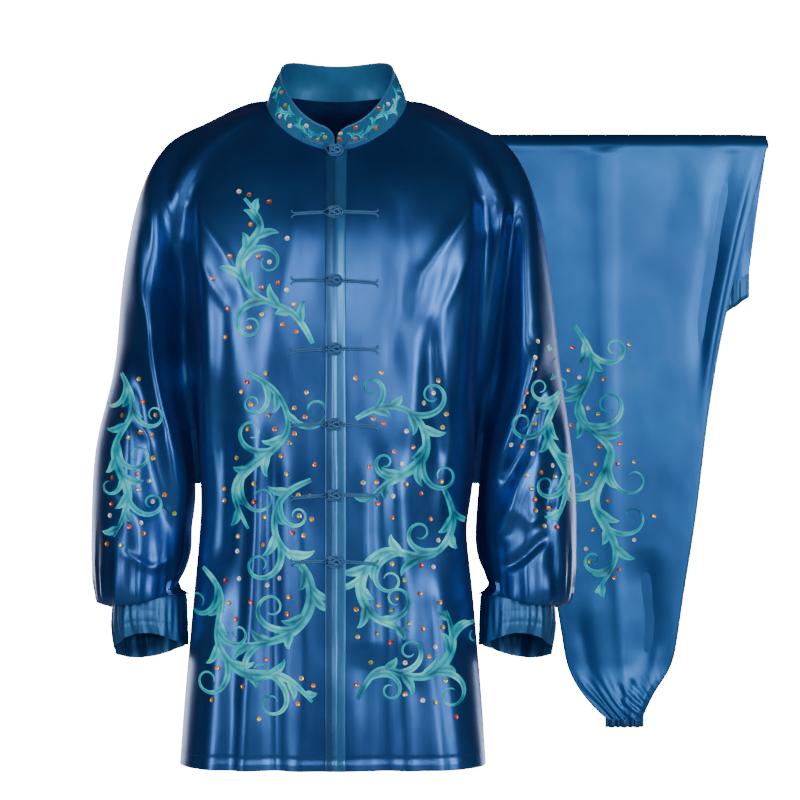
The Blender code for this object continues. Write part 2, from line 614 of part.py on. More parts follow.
def add_cord(name, path, cord):
    """A round cord through the points of path, in millimetres."""
    data = bpy.data.curves.new(name, "CURVE")
    data.dimensions = "3D"
    data.bevel_depth = cord / 2 * MM
    data.bevel_resolution = 1
    data.use_fill_caps = True
    spline = data.splines.new("POLY")
    spline.points.add(len(path) - 1)
    for point, place in zip(spline.points, path):
        point.co = (*(Vector(place) * MM), 1)
    data.materials.append(material_of(SATIN_CORD))
    obj = bpy.data.objects.new(name, data)
    uniform.objects.link(obj)
    return obj


def hairpin(place, knot_clear, reach):
    """The doubled cord of one strap: in from one turned-out end, round at the knot, and back out. place
    takes distance along the strap and distance above its middle."""
    runs = (reach - 1.5, *FROG_STOPS, knot_clear + 1.0)
    upper = [(reach, FROG_END), (reach, FROG_LANE + 1.6), *[(run, FROG_LANE) for run in runs]]
    lower = [(along, -up) for along, up in reversed(upper)]
    return [place(along, up) for along, up in [*upper, (knot_clear, 0), *lower]]


def add_frog(number, height, tree):
    """A button knot at the middle and a strap to each side, lying on the bands and fronts."""
    for side, word in ((-1, "loop"), (1, "tail")):

        def place(along, up, side=side):
            return on_front(tree, side * along, height + up, FROG_CORD / 2 + 0.45)

        add_cord(f"frog_{number}_{word}", hairpin(place, KNOT[0] + 0.6, FROG_REACH), FROG_CORD)
    add_knot(f"frog_{number}_knot", seated_knot(tree, height))


def seated_knot(tree, height):
    """The middle of a knot at a height, when the knot just rests on what lies behind it."""
    seats = []
    for across in (-0.8, -0.5, -0.2, 0.2, 0.5, 0.8):
        for up in (-0.5, 0, 0.5):
            depth = KNOT[1] * math.sqrt(1 - across**2 - up**2)
            start = Vector((across * KNOT[0], -400, height + up * KNOT[2])) * MM
            hit = tree.ray_cast(start, Vector((0, 1, 0)))[0]
            if hit:
                seats.append(hit.y / MM - depth - SEAM_GAP)
    return (0, min(seats), height)


def add_knot(name, centre):
    """The ball of a button knot."""
    mesh = bmesh.new()
    bmesh.ops.create_uvsphere(mesh, u_segments=8, v_segments=6, radius=1)
    for vertex in mesh.verts:
        vertex.co = Vector((c + a * b for a, b, c in zip(vertex.co, KNOT, centre))) * MM
    data = bpy.data.meshes.new(name)
    mesh.to_mesh(data)
    mesh.free()
    return add_object(name, data, SATIN_CORD)


def add_collar_frog(tree):
    """The top frog: its straps follow the foot of the collar, and its knot closes the neck."""
    for side, word in ((-1, "loop"), (1, "tail")):

        def place(along, up, side=side):
            turned = math.degrees(along / NECK_HALF_WIDTH)
            angle = turned if side > 0 else 360 - turned
            point, above = collar_points(np.array([angle]), (COLLAR_FROG_SHARE, 2 * COLLAR_FROG_SHARE))[:, 0]
            rise = (above - point) / np.linalg.norm(above - point)
            return Vector(point + up * rise + outward_from_neck(point) * (FROG_CORD / 2 + 0.9))

        reach = math.radians(COLLAR_FROG_ANGLE) * NECK_HALF_WIDTH
        add_cord(f"frog_1_{word}", hairpin(place, KNOT[0] + 1.2, reach), FROG_CORD)
    foot = neck_ring(0, NECK_HALF_WIDTH, NECK_HALF_DEPTH, NECK_CENTRE_Y, NECK_HEIGHTS)[2]
    add_knot("frog_1_knot", seated_knot(tree, foot - 1.5))


def leg_edges(height):
    """Left and right edges of a leg at a height down its front."""
    table = np.array(LEG_OUTLINE, float)
    return natural_spline(-table[:, 0], table[:, 1:], [min(-height, -table[-1, 0])])[0]


def leg_points(radius, shift, swell_side):
    """Rings of one flattened leg: up its front from the foot, over the rod, and down to the waist line.
    radius is that of its middle layer round the rod. swell_side is -1 where the foot swells forward."""
    rod_y, rod_z = ROD_CENTRE
    foot = LEG_OUTLINE[-1][0]
    near_foot = foot + np.array([0, 7, 16, 32])
    heights = np.concatenate([near_foot, np.linspace(foot + 60, rod_z, LEG_STATIONS - len(near_foot))])
    waist = np.array(WAIST_LINE, float)
    turn = np.linspace(0, math.pi, 9)[1:-1]
    down = np.linspace(0, 1, 5)
    around = np.linspace(0, 2 * math.pi, 2 * LEG_ACROSS + 1)[:-1]
    level = np.sign(np.cos(around)) * np.abs(np.cos(around)) ** 0.8
    bulge = np.sign(np.sin(around)) * np.abs(np.sin(around)) ** 0.45
    rings = []
    for height in heights:
        left, right = leg_edges(height)
        foot_share = float(smooth(1 - (height - foot) / 70))
        rings.append((left, right, "front", height, foot_share))
    left, right = leg_edges(0)
    for angle in turn:
        rings.append((left, right, "top", angle, 0.0))
    for share in down:
        edges = (left + share * WAIST_NARROWING[0], right + share * WAIST_NARROWING[1])
        rings.append((*edges, "back", share, 0.0))
    points = []
    for left, right, part, value, foot_share in rings:
        across = (left + right) / 2 + shift + (right - left) / 2 * level
        swell = foot_share * LEG_FOOT_SWELL / 2
        outward = radius + (LEG_LAYER / 2 + swell) * bulge - swell_side * swell
        if part == "front":
            y, z = rod_y - outward, np.full_like(across, value)
        elif part == "top":
            y, z = rod_y - outward * math.cos(value), rod_z + outward * math.sin(value)
        else:
            end = natural_spline(waist[:, 0], waist[:, 1], across) + WAISTBAND_HEIGHT
            y, z = rod_y + outward, rod_z + value * (end - rod_z)
        points.append(np.stack(np.broadcast_arrays(across, y, z), axis=-1))
    return np.array(points)


def closed_loft(name, points, finish, pairing):
    """A closed solid through flattened rings of points. Point i faces point pairing - i across the ring, and
    each end closes onto the line between them."""
    count = points.shape[1]
    facing = (pairing - np.arange(count)) % count
    ends = [(points[end] + points[end][facing]) / 2 for end in (0, -1)]
    rings = np.concatenate([[ends[0]], points, [ends[1]]])
    looped = np.concatenate([rings, rings[:, :1]], axis=1)
    mesh = bmesh.new()
    data = grid_mesh(name, looped, points.reshape(-1, 3).mean(axis=0), closed=True)
    mesh.from_mesh(data)
    bmesh.ops.dissolve_degenerate(mesh, dist=0.01 * MM, edges=mesh.edges)
    bmesh.ops.recalc_face_normals(mesh, faces=mesh.faces)
    mesh.to_mesh(data)
    mesh.free()
    return add_object(name, data, finish)


def add_gathered_strip(name, centre_line, half_depths, height, gathers, steps, lean=0.0):
    """A strip drawn in by elastic: a closed slab whose two faces are waved. centre_line gives points along
    the strip's top edge, and half_depths half of its thickness at the first and last ring."""
    line = np.array(centre_line, float)
    places = np.linspace(0, len(line) - 1, steps + 1)
    top = natural_spline(range(len(line)), line, places)
    wave = np.cos(2 * math.pi * gathers * np.linspace(0, 1, steps + 1))
    taper = np.sqrt(np.clip(1 - np.linspace(-1, 1, steps + 1) ** 2, 0.06, 1)) ** 0.5
    rings = []
    for share, half in zip(np.linspace(0, 1, len(half_depths)), half_depths):
        drop = np.array([0, lean * share, -height * share])
        front, back = top + drop, top[::-1] + drop
        thick = half * taper + 0.9 * wave * taper
        front = front + np.stack([0 * thick, -thick, 0 * thick], axis=-1)
        back = back + np.stack([0 * thick, thick[::-1], 0 * thick], axis=-1)
        rings.append(np.concatenate([front, back]))
    return closed_loft(name, np.array(rings), SATIN, -1)


def add_trousers():
    """The trousers folded over the rod: two flattened legs, one on the other, then waistband and hems."""
    far_radius = ROD_RADIUS + 2 * SEAM_GAP + LEG_LAYER / 2
    near_radius = far_radius + LEG_LAYER + 2 * SEAM_GAP
    rod_y, _ = ROD_CENTRE
    closed_loft("trouser_leg_near", leg_points(near_radius, 0.0, -1), SATIN, 0)
    closed_loft("trouser_leg_far", leg_points(far_radius, FAR_LEG_SHIFT, 1), SATIN, 0)
    foot, left, right = LEG_OUTLINE[-1]
    half = (LEG_LAYER + LEG_FOOT_SWELL) / 2 - 1.6
    for word, radius, shift, way in (("near", near_radius, 0.0, -1), ("far", far_radius, FAR_LEG_SHIFT, 1)):
        y = rod_y - radius + way * LEG_FOOT_SWELL / 2
        line = [(x + shift, y, foot - SEAM_GAP) for x in np.linspace(left + 1, right - 1, 4)]
        halves = (half - 0.6, half, half - 0.8)
        add_gathered_strip(f"ankle_hem_{word}", line, halves, ANKLE_HEM_HEIGHT, ANKLE_GATHERS, 18)
    waist = np.array(WAIST_LINE, float)
    y = rod_y + (near_radius + far_radius) / 2
    left, right = leg_edges(0)
    across = np.linspace(left + WAIST_NARROWING[0] + 2, right + WAIST_NARROWING[1], 13)
    heights = natural_spline(waist[:, 0], waist[:, 1], across) + WAISTBAND_HEIGHT - WAIST_GAP
    line = [(x, y, z) for x, z in zip(across, heights)]
    height = WAISTBAND_HEIGHT - WAIST_GAP
    add_gathered_strip("waistband", line, (6.0, 7.5, 6.5), height, WAISTBAND_GATHERS, 60)


def add_rod():
    """The plain rod that the trousers hang over."""
    mesh = bmesh.new()
    bmesh.ops.create_cone(
        mesh, cap_ends=True, segments=32, radius1=ROD_RADIUS * MM, radius2=ROD_RADIUS * MM,
        depth=(ROD_ENDS[1] - ROD_ENDS[0]) * MM,
    )
    data = bpy.data.meshes.new("rod")
    mesh.to_mesh(data)
    mesh.free()
    data.shade_smooth()
    data.set_sharp_from_angle(angle=math.radians(40))
    obj = add_object("rod", data, ROD_METAL, is_smooth=False)
    obj.rotation_euler = (0, math.pi / 2, 0)
    obj.location = Vector((sum(ROD_ENDS) / 2, *ROD_CENTRE)) * MM
    return obj


for old in list(bpy.data.objects):
    bpy.data.objects.remove(old)
uniform = bpy.data.collections.new("tai_chi_uniform")
bpy.context.scene.collection.children.link(uniform)

fronts = []
for side, word in ((1, "left"), (-1, "right")):
    front = add_panel(f"front_{word}", side, True)
    add_panel(f"back_{word}", side, False)
    add_cuff(f"cuff_{word}", side)
    fronts += [front, add_band(f"front_band_{word}", side, front)]
front_faces = tree_of([*fronts, add_collar()])
add_collar_frog(front_faces)
for number, height in enumerate(FROG_HEIGHTS, start=2):
    add_frog(number, height, front_faces)
add_trousers()
add_rod()
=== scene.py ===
"""Looks of the satin tai chi uniform: jacket on a general figure, trousers folded over a rod behind it.
Tables are in millimetres in the part's own frame: the front faces -Y and +X is the wearer's left."""

import math
from collections import namedtuple

import bmesh
import bpy
import numpy as np
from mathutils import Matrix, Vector, noise
from mathutils.bvhtree import BVHTree


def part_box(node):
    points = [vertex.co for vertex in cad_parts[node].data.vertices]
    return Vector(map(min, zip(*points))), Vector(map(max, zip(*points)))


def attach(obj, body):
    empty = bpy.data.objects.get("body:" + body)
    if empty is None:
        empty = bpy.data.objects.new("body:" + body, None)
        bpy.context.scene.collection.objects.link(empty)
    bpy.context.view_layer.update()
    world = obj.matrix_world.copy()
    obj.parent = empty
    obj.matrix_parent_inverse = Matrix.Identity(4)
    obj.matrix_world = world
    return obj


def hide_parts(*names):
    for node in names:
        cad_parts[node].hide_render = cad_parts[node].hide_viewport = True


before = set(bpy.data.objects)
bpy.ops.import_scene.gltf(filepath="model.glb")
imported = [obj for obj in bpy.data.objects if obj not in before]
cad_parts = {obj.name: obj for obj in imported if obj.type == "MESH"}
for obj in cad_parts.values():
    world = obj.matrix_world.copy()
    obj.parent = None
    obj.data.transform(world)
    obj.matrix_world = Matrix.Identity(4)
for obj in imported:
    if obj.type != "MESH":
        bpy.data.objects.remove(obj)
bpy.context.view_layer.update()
bpy.ops.object.select_all(action="DESELECT")

# The studio: a white backdrop, a dim room that only the satin reflects, and a pale floor just below the picture.
# Two soft boxes light the cloth from its sides at its own height, one hangs high in front, a small one in front
# lights the trousers, and two stand behind.
MM = 0.001
ROOM_STOPS = (  # from straight down to straight up
    (0.0, "#30283a"), (0.42, "#3a303e"), (0.52, "#362c38"), (0.65, "#241c26"), (1.0, "#191419"),
)
ROOM_STRENGTH, BACKDROP_STRENGTH = 0.75, 20.0
LIT_SPOT = (0.08, 0, -0.35)  # what every soft box is turned to
FLOOR_SIZE, FLOOR_HEIGHT = 4.0, -1.12


def linear(hex_colour):
    """sRGB hex to the linear values that Blender's sockets take."""
    parts = [int(hex_colour[i : i + 2], 16) / 255 for i in (1, 3, 5)]
    return (*[p / 12.92 if p <= 0.04045 else ((p + 0.055) / 1.055) ** 2.4 for p in parts], 1.0)


def set_inputs(node, inputs):
    """Gives each input its value, or joins it to the socket that stands for it."""
    for name, value in inputs.items():
        if isinstance(value, bpy.types.NodeSocket):
            node.id_data.links.new(value, node.inputs[name])
        else:
            node.inputs[name].default_value = value


def add_node(tree, kind, settings=None, inputs=None):
    """Adds one shader node."""
    made = tree.nodes.new("ShaderNode" + kind)
    for name, value in (settings or {}).items():
        setattr(made, name, value)
    set_inputs(made, inputs or {})
    return made


def ramp(tree, fac, stops):
    """Colours by a value: stops are a place and a hex colour each."""
    made = add_node(tree, "ValToRGB", inputs={"Fac": fac})
    while len(made.color_ramp.elements) < len(stops):
        made.color_ramp.elements.new(0.5)
    for element, (place, colour) in zip(made.color_ramp.elements, stops):
        element.position, element.color = place, linear(colour)
    return made.outputs["Color"]


def new_material(name):
    """A material, its node tree and its shader."""
    material = bpy.data.materials.new(name)
    material.use_nodes = True
    return material, material.node_tree, material.node_tree.nodes["Principled BSDF"]


camera_data = bpy.data.cameras.new("camera")
camera_data.sensor_width, camera_data.lens = 36.0, 124.14
camera = bpy.data.objects.new("camera", camera_data)
camera.location = (0.073, -3.2, -0.331)
camera.rotation_euler = (math.radians(90), 0, 0)
bpy.context.scene.collection.objects.link(camera)
bpy.context.scene.camera = camera

world = bpy.data.worlds.new("studio")
bpy.context.scene.world = world
world.use_nodes = True
room = world.node_tree
room.nodes.clear()
facing = add_node(room, "TexCoord")
height = add_node(room, "SeparateXYZ", inputs={"Vector": facing.outputs["Generated"]})
climb = add_node(room, "MapRange", inputs={"Value": height.outputs["Z"], "From Min": -1.0, "From Max": 1.0})
walls = ramp(room, climb.outputs["Result"], ROOM_STOPS)
soft_light = add_node(room, "Background", inputs={"Color": walls, "Strength": ROOM_STRENGTH})
white_wall = add_node(room, "Background", inputs={"Color": (1, 1, 1, 1), "Strength": BACKDROP_STRENGTH})
seen = add_node(room, "LightPath")
backdrop = add_node(room, "MixShader", inputs={
    0: seen.outputs["Is Camera Ray"], 1: soft_light.outputs[0], 2: white_wall.outputs[0],
})
add_node(room, "OutputWorld", inputs={"Surface": backdrop.outputs[0]})

SoftBox = namedtuple("SoftBox", "name place size watts")
for box in (
    SoftBox("key", (2.3, -2.7, 0.05), (0.8, 1.3), 50),
    SoftBox("fill", (-2.3, -2.7, 0.0), (0.7, 1.4), 44),
    SoftBox("top", (0.35, -4.3, 1.10), (1.7, 0.8), 34),
    SoftBox("front", (1.0, -4.6, 0.0), (0.9, 0.8), 15),
    SoftBox("back_left", (-1.9, 2.6, -0.2), (1.2, 1.8), 32),
    SoftBox("back_right", (1.9, 2.8, -0.3), (1.2, 1.8), 40),
):
    data = bpy.data.lights.new(box.name, "AREA")
    data.shape, (data.size, data.size_y), data.energy = "RECTANGLE", box.size, box.watts
    lamp = bpy.data.objects.new(box.name, data)
    lamp.location = box.place
    lamp.rotation_euler = (Vector(LIT_SPOT) - lamp.location).to_track_quat("-Z", "Y").to_euler()
    bpy.context.scene.collection.objects.link(lamp)

bpy.ops.mesh.primitive_plane_add(size=FLOOR_SIZE, location=(0, 0, 0))
floor = bpy.context.object
floor.name = "floor"
for corner in floor.data.vertices:
    corner.co.z = FLOOR_HEIGHT
# matt studio paper: pale, with a faint unevenness
paper, tree, shader = new_material("studio_paper")
speckle = add_node(tree, "TexNoise", inputs={"Scale": 3.0})
shade = add_node(tree, "MapRange", inputs={"Value": speckle.outputs[0], "To Min": 0.50, "To Max": 0.54})
set_inputs(shader, {"Base Color": shade.outputs["Result"], "Roughness": 0.9})
floor.data.materials.append(paper)

# The jacket's fronts and backs, each cut in one with its half of the sleeve from polyester satin about a
# quarter of a millimetre thick. They are sewn along the top of the arm, the sides and under the sleeve, and
# folds hang from the shoulders and bunch in the sleeves. The outer face is the solid's own, drawn finer.
WORDS = {1: "left", -1: "right"}  # the wearer's
WALL = 0.8
CENTRE_GAP = 0.6
NECK_HALF_WIDTH, NECK_HALF_DEPTH, NECK_CENTRE_Y = 81.0, 70.0, -8.0
NECK_HEIGHTS = (0.25, -34.5, -12.75)  # mean, tilt and saddle of the neck seam
NECK_ANGLES = (0, 30, 55, 73, 77, 83, 90, 97, 103, 107, 128, 155, 180)
COLUMN_COUNT = 13  # columns of the net, from the centre front round to the centre back
FRONT_SIDE, FRONT_INNER, OUTER, BACK_INNER, BACK_SIDE = 3, 4, 6, 8, 9
CENTRE_BACK = COLUMN_COUNT - 1
BODY_COLUMNS = [*range(FRONT_SIDE + 1), *range(BACK_SIDE, COLUMN_COUNT)]
WING_COLUMNS = list(range(FRONT_INNER, BACK_INNER + 1))
Upper = namedtuple("Upper", "centre edge recess sleeve outer back")
UPPER_SECTIONS = (
    Upper((-90, -76), (94, -60, -38), (106, -36, -14), (110, -20, -3), (112, -3, 4), (82, 70)),
    Upper((-102, -112), (130, -68, -66), (144, -48, -44), (151, -26, -25), (155, 0, -12), (97, 60)),
    Upper((-113, -155), (155, -80, -116), (172, -56, -92), (186, -34, -64), (195, 2, -33), (105, 47)),
    Upper((-121, -205), (154, -87, -180), (183, -46, -160), (206, -50, -124), (224, 4, -80), (107, 35)),
    Upper((-127, -262), (151, -85, -246), (180, -32, -234), (211, -60, -196), (241, 5, -146), (105, 26)),
    Upper((-129, -322), (149, -79, -316), (171, -15, -322), (213, -66, -270), (251, 5, -220), (101, 20)),
    Upper((-129, -385), (144, -72, -388), (161, 5, -428), (213, -69, -348), (259, 5, -298), (97, 17)),
)
UNDERARM_ROW = len(UPPER_SECTIONS)
SEAM_HALF_GAP, UNDERARM_HALF_GAP = 0.3, 1.5
RECESS_HALF_WIDTH = 3.5
BLEND_FROM = 5.5  # the row from which body and sleeve begin to turn into rings of their own
Body = namedtuple("Body", "centre edge side back")
BODY_SECTIONS = (
    Body((-128, -450), (142, -72, -452), (155, 4, -486), (99, 10)),
    Body((-127, -518), (147, -74, -520), (160, 3, -540), (104, 6)),
    Body((-127, -592), (153, -77, -594), (166, 2, -604), (113, 5)),
    Body((-129, -668), (160, -82, -669), (171, 0, -674), (121, 5)),
    Body((-131, -745), (166, -88, -745), (174, -2, -744), (127, 6)),
)
VENT_TOP = -605.0
BODY_SWAY = {-1: 3.0, 1: -5.0}  # how far each side hangs outwards of its section
SLEEVE_SWAY = {-1: 6.0, 1: -1.0}
VENT_FRONT, VENT_BACK = 26.0, 22.0  # how far the hem's corners part at the side vents
Sleeve = namedtuple("Sleeve", "inner front outer back")
SLEEVE_SECTIONS = (
    Sleeve((162, 3, -476), (216, -74, -424), (271, 3, -374), (222, 60, -412)),
    Sleeve((164, 0, -508), (219, -77, -482), (277, -1, -442), (224, 56, -470)),
    Sleeve((173, -6, -532), (221, -79, -528), (277, -7, -504), (224, 48, -522)),
    Sleeve((176, -12, -545), (220, -77, -561), (270, -14, -562), (221, 40, -572)),
    Sleeve((165, -16, -554), (212, -62, -550), (255, -18, -557), (213, 28, -566)),
)
FRONT_ACROSS, FRONT_DEPTH, FRONT_HEIGHT = 0.54, 0.14, 0.26
BACK_CENTRE_Y = 5.0
BACK_LIFT_SHARES = {"centre": 1.0, "front": 0.8, "edge": 0.35, "recess": 0.2, "sleeve": 0.2}

# Main folds, as in the solids: face is -1 for the front and 1 for the back, the path is across and up, and
# positive depth is a ridge.
Fold = namedtuple("Fold", "face path width depth")
FOLDS = (
    Fold(-1, ((-86, -330), (-88, -470), (-98, -640), (-104, -760)), 12, 7),
    Fold(-1, ((-70, -345), (-72, -470), (-68, -620), (-66, -760)), 11, -8),
    Fold(-1, ((-126, -350), (-123, -440), (-128, -530)), 10, -7),
    Fold(-1, ((50, -350), (50, -480), (58, -640), (62, -760)), 13, -5),
    Fold(-1, ((72, -380), (76, -500), (88, -660)), 15, 6),
    Fold(-1, ((-162, -107), (-151, -207), (-149, -338), (-140, -440)), 11, 6),
    Fold(-1, ((-122, -190), (-126, -300), (-126, -380)), 13, -5),
    Fold(-1, ((104, -230), (112, -330), (120, -430)), 13, -6),
    Fold(-1, ((-178, -150), (-176, -240), (-178, -320)), 13, -12),
    Fold(-1, ((-209, -68), (-202, -164), (-196, -250), (-181, -312)), 11, 12),
    Fold(-1, ((-217, -95), (-225, -160), (-222, -240)), 12, 4),
    Fold(-1, ((-219, -190), (-197, -297), (-184, -370), (-176, -440), (-174, -515)), 12, 14),
    Fold(-1, ((-232, -260), (-214, -370), (-200, -440), (-196, -520)), 13, -8),
    Fold(-1, ((196, -80), (185, -160), (174, -258), (163, -354)), 11, 13),
    Fold(-1, ((208, -90), (197, -170), (187, -258), (178, -345)), 11, -12),
    Fold(-1, ((236, -250), (216, -331), (194, -380), (175, -424)), 12, 13),
    Fold(-1, ((238, -300), (214, -375), (190, -440)), 11, -11),
    Fold(-1, ((216, -393), (202, -445), (185, -485), (197, -500)), 7, 6),
    Fold(-1, ((190, -526), (214, -508), (242, -482)), 6, -6),
    Fold(-1, ((252, -330), (246, -420), (232, -490)), 10, -6),
    Fold(-1, ((-132, -520), (-144, -750)), 18, 7),
    Fold(-1, ((112, -500), (126, -750)), 20, 7),
    Fold(-1, ((40, -600), (44, -750)), 16, -6),
    Fold(1, ((-18, -260), (-26, -745)), 22, 10),
    Fold(1, ((-66, -200), (-84, -745)), 20, -11),
    Fold(1, ((-108, -280), (-134, -745)), 18, 9),
    Fold(1, ((48, -240), (56, -745)), 20, -11),
    Fold(1, ((92, -220), (110, -745)), 20, 10),
    Fold(1, ((-202, -80), (-206, -240), (-184, -400)), 11, 11),
    Fold(1, ((200, -80), (208, -260), (182, -410)), 11, 11),
    Fold(1, ((-176, -110), (-180, -300), (-168, -390)), 12, -11),
    Fold(1, ((176, -110), (182, -320)), 12, -11),
    Fold(1, ((-240, -300), (-226, -500)), 13, -7),
    Fold(1, ((240, -290), (230, -420), (206, -510)), 13, -7),
)
# Smaller creases that only the looks have: lean is how much steeper the crease is on its right side.
Crease = namedtuple("Crease", "face path width depth lean")
CREASES = (
    Crease(-1, ((-150, -90), (-120, -170), (-100, -260)), 14, 2.2, 1.4),
    Crease(-1, ((150, -100), (118, -190), (92, -300), (80, -420)), 15, 2.6, 0.7),
    Crease(-1, ((140, -130), (110, -250), (100, -360)), 9, -2.4, 1.2),
    Crease(-1, ((-38, -86), (-50, -175), (-72, -264), (-80, -330)), 12, 2.2, 1.3),
    Crease(-1, ((-94, -409), (-100, -509), (-111, -665), (-113, -750)), 8, -3.0, 0.7),
    Crease(-1, ((-38, -440), (-33, -610), (-38, -750)), 10, 2.6, 1.2),
    Crease(-1, ((-133, -480), (-144, -621), (-152, -750)), 8, -3.2, 0.8),
    Crease(-1, ((73, -86), (79, -175), (67, -253), (60, -330)), 12, -2.2, 0.8),
    Crease(-1, ((114, -240), (129, -364), (118, -480)), 9, 3.0, 0.7),
    Crease(-1, ((34, -364), (36, -476), (45, -640), (40, -750)), 8, 2.4, 1.3),
    Crease(-1, ((106, -520), (118, -643), (131, -750)), 8, -3.4, 0.8),
    Crease(-1, ((73, -560), (84, -750)), 9, 2.8, 1.2),
    Crease(-1, ((186, -80), (150, -120), (100, -190), (84, -250)), 8, 2.4, 0.7),
    Crease(-1, ((186, -112), (158, -160), (122, -230), (112, -300)), 7, 2.2, 0.7),
    Crease(-1, ((-190, -82), (-156, -122), (-108, -188), (-96, -240)), 8, 2.2, 0.7),
    Crease(-1, ((-186, -130), (-158, -168), (-118, -232), (-112, -300)), 7, 2.0, 0.7),
    Crease(-1, ((-246, -340), (-214, -372), (-186, -360)), 6, -2.6, 1.4),
    Crease(-1, ((-256, -430), (-216, -462), (-184, -446)), 6, -3.0, 1.4),
    Crease(-1, ((-246, -500), (-208, -522), (-176, -506)), 6, 2.4, 0.8),
    Crease(-1, ((-212, -377), (-214, -468), (-209, -550)), 8, -3.6, 1.2),
    Crease(-1, ((-232, -300), (-238, -400), (-236, -500)), 9, 2.6, 0.8),
    Crease(-1, ((206, -352), (238, -386), (264, -372)), 6, -2.6, 1.4),
    Crease(-1, ((182, -448), (221, -470), (258, -450)), 6, 3.0, 1.4),
    Crease(-1, ((238, -400), (244, -513), (240, -550)), 8, -3.6, 1.2),
    Crease(-1, ((226, -200), (240, -300), (256, -380)), 9, 2.6, 0.8),
    Crease(1, ((-150, -96), (-108, -180), (-96, -290)), 9, 2.6, 0.7),
    Crease(1, ((154, -92), (112, -186), (100, -300)), 9, 2.6, 0.7),
    Crease(1, ((-40, -120), (-46, -300), (-52, -520)), 9, 2.4, 1.2),
    Crease(1, ((20, -160), (24, -360), (18, -620)), 10, -2.6, 0.8),
    Crease(1, ((-120, -420), (-118, -600), (-112, -750)), 8, -2.8, 0.8),
    Crease(1, ((76, -430), (70, -600), (78, -750)), 8, 2.8, 1.2),
    Crease(1, ((-232, -380), (-206, -410), (-182, -396)), 6, -2.4, 1.4),
    Crease(1, ((236, -430), (212, -456), (184, -444)), 6, 2.6, 1.4),
)
FOLD_FADE_DEPTH = 55.0
FOLD_END_SHARE = 0.22
HEM_FOLD_END = -688.0  # a fold that goes on below this runs out at the hem
FOLD_POWER, CREASE_POWER = 2.0, 1.6
SEAM_REACH, VENT_REACH = 1.2, 0.9  # in columns of the net


def natural_spline(stations, points, at):
    """The smooth curve through points, which stand at stations, read off at the stations in at."""
    x, y = np.asarray(stations, float), np.asarray(points, float)
    at = np.asarray(at, float)
    step, count = np.diff(x), len(x)
    system, load = np.eye(count), np.zeros_like(y)
    for i in range(1, count - 1):
        system[i, i - 1 : i + 2] = step[i - 1], 2 * (step[i - 1] + step[i]), step[i]
        load[i] = 6 * ((y[i + 1] - y[i]) / step[i] - (y[i] - y[i - 1]) / step[i - 1])
    bend = np.linalg.solve(system, load.reshape(count, -1)).reshape(y.shape)
    i = np.clip(np.searchsorted(x, at, side="right") - 1, 0, count - 2)
    wide = (slice(None),) + (None,) * (y.ndim - 1)
    right = ((at - x[i]) / step[i])[wide]
    left = 1 - right
    curve = (left**3 - left) * bend[i] + (right**3 - right) * bend[i + 1]
    return left * y[i] + right * y[i + 1] + curve * (step[i] ** 2)[wide] / 6


def smooth(share):
    """0 below 0, 1 above 1, and an even rise between."""
    share = np.clip(share, 0, 1)
    return share * share * (3 - 2 * share)


def neck_ring(angles, half_width, half_depth, centre_y, heights):
    """Points of a neckline at angles in degrees from the centre front."""
    turn = np.radians(angles)
    mean, tilt, saddle = heights
    z = mean + tilt * np.cos(turn) + saddle * np.cos(2 * turn)
    return np.stack([half_width * np.sin(turn), centre_y - half_depth * np.cos(turn), z], axis=-1)


def ring_row(section, row):
    """One row of the jacket's net, for the wearer's left half: front, wing and back columns."""
    centre, edge = (CENTRE_GAP, *section.centre), section.edge
    back_y, lift = section.back
    ratio = (back_y - BACK_CENTRE_Y) / (BACK_CENTRE_Y - section.centre[0])

    def behind(point, part):
        x, y, z = point
        return (x, BACK_CENTRE_Y + ratio * (BACK_CENTRE_Y - y), z + BACK_LIFT_SHARES[part] * lift)

    front = (
        FRONT_ACROSS * edge[0],
        centre[1] + FRONT_DEPTH * (edge[1] - centre[1]),
        centre[2] + FRONT_HEIGHT * (edge[2] - centre[2]),
    )
    body_back = [behind(edge, "edge"), behind(front, "front"), behind(centre, "centre")]
    if isinstance(section, Body):
        x, y, z = section.side
        return [centre, front, edge, (x, y - SEAM_HALF_GAP, z)], [], [(x, y + SEAM_HALF_GAP, z), *body_back]
    x, y, z = section.recess
    near, far = (x, y, z), behind(section.recess, "recess")
    if row == UNDERARM_ROW:
        near, far = (x, y - UNDERARM_HALF_GAP, z), (x, y + UNDERARM_HALF_GAP, z)
    shift = np.array([RECESS_HALF_WIDTH * min(1.0, row / 3), 0, 0])
    wing = [near + shift, section.sleeve, section.outer, behind(section.sleeve, "sleeve"), far + shift]
    return [centre, front, edge, near - shift], wing, [far - shift, *body_back]


def sleeve_row(section):
    """The five columns of one sleeve or cuff ring, from the inner front round to the inner back."""
    x, y, z = section.inner
    near, far = (x, y - SEAM_HALF_GAP, z), (x, y + SEAM_HALF_GAP, z)
    return [near, section.front, section.outer, section.back, far]


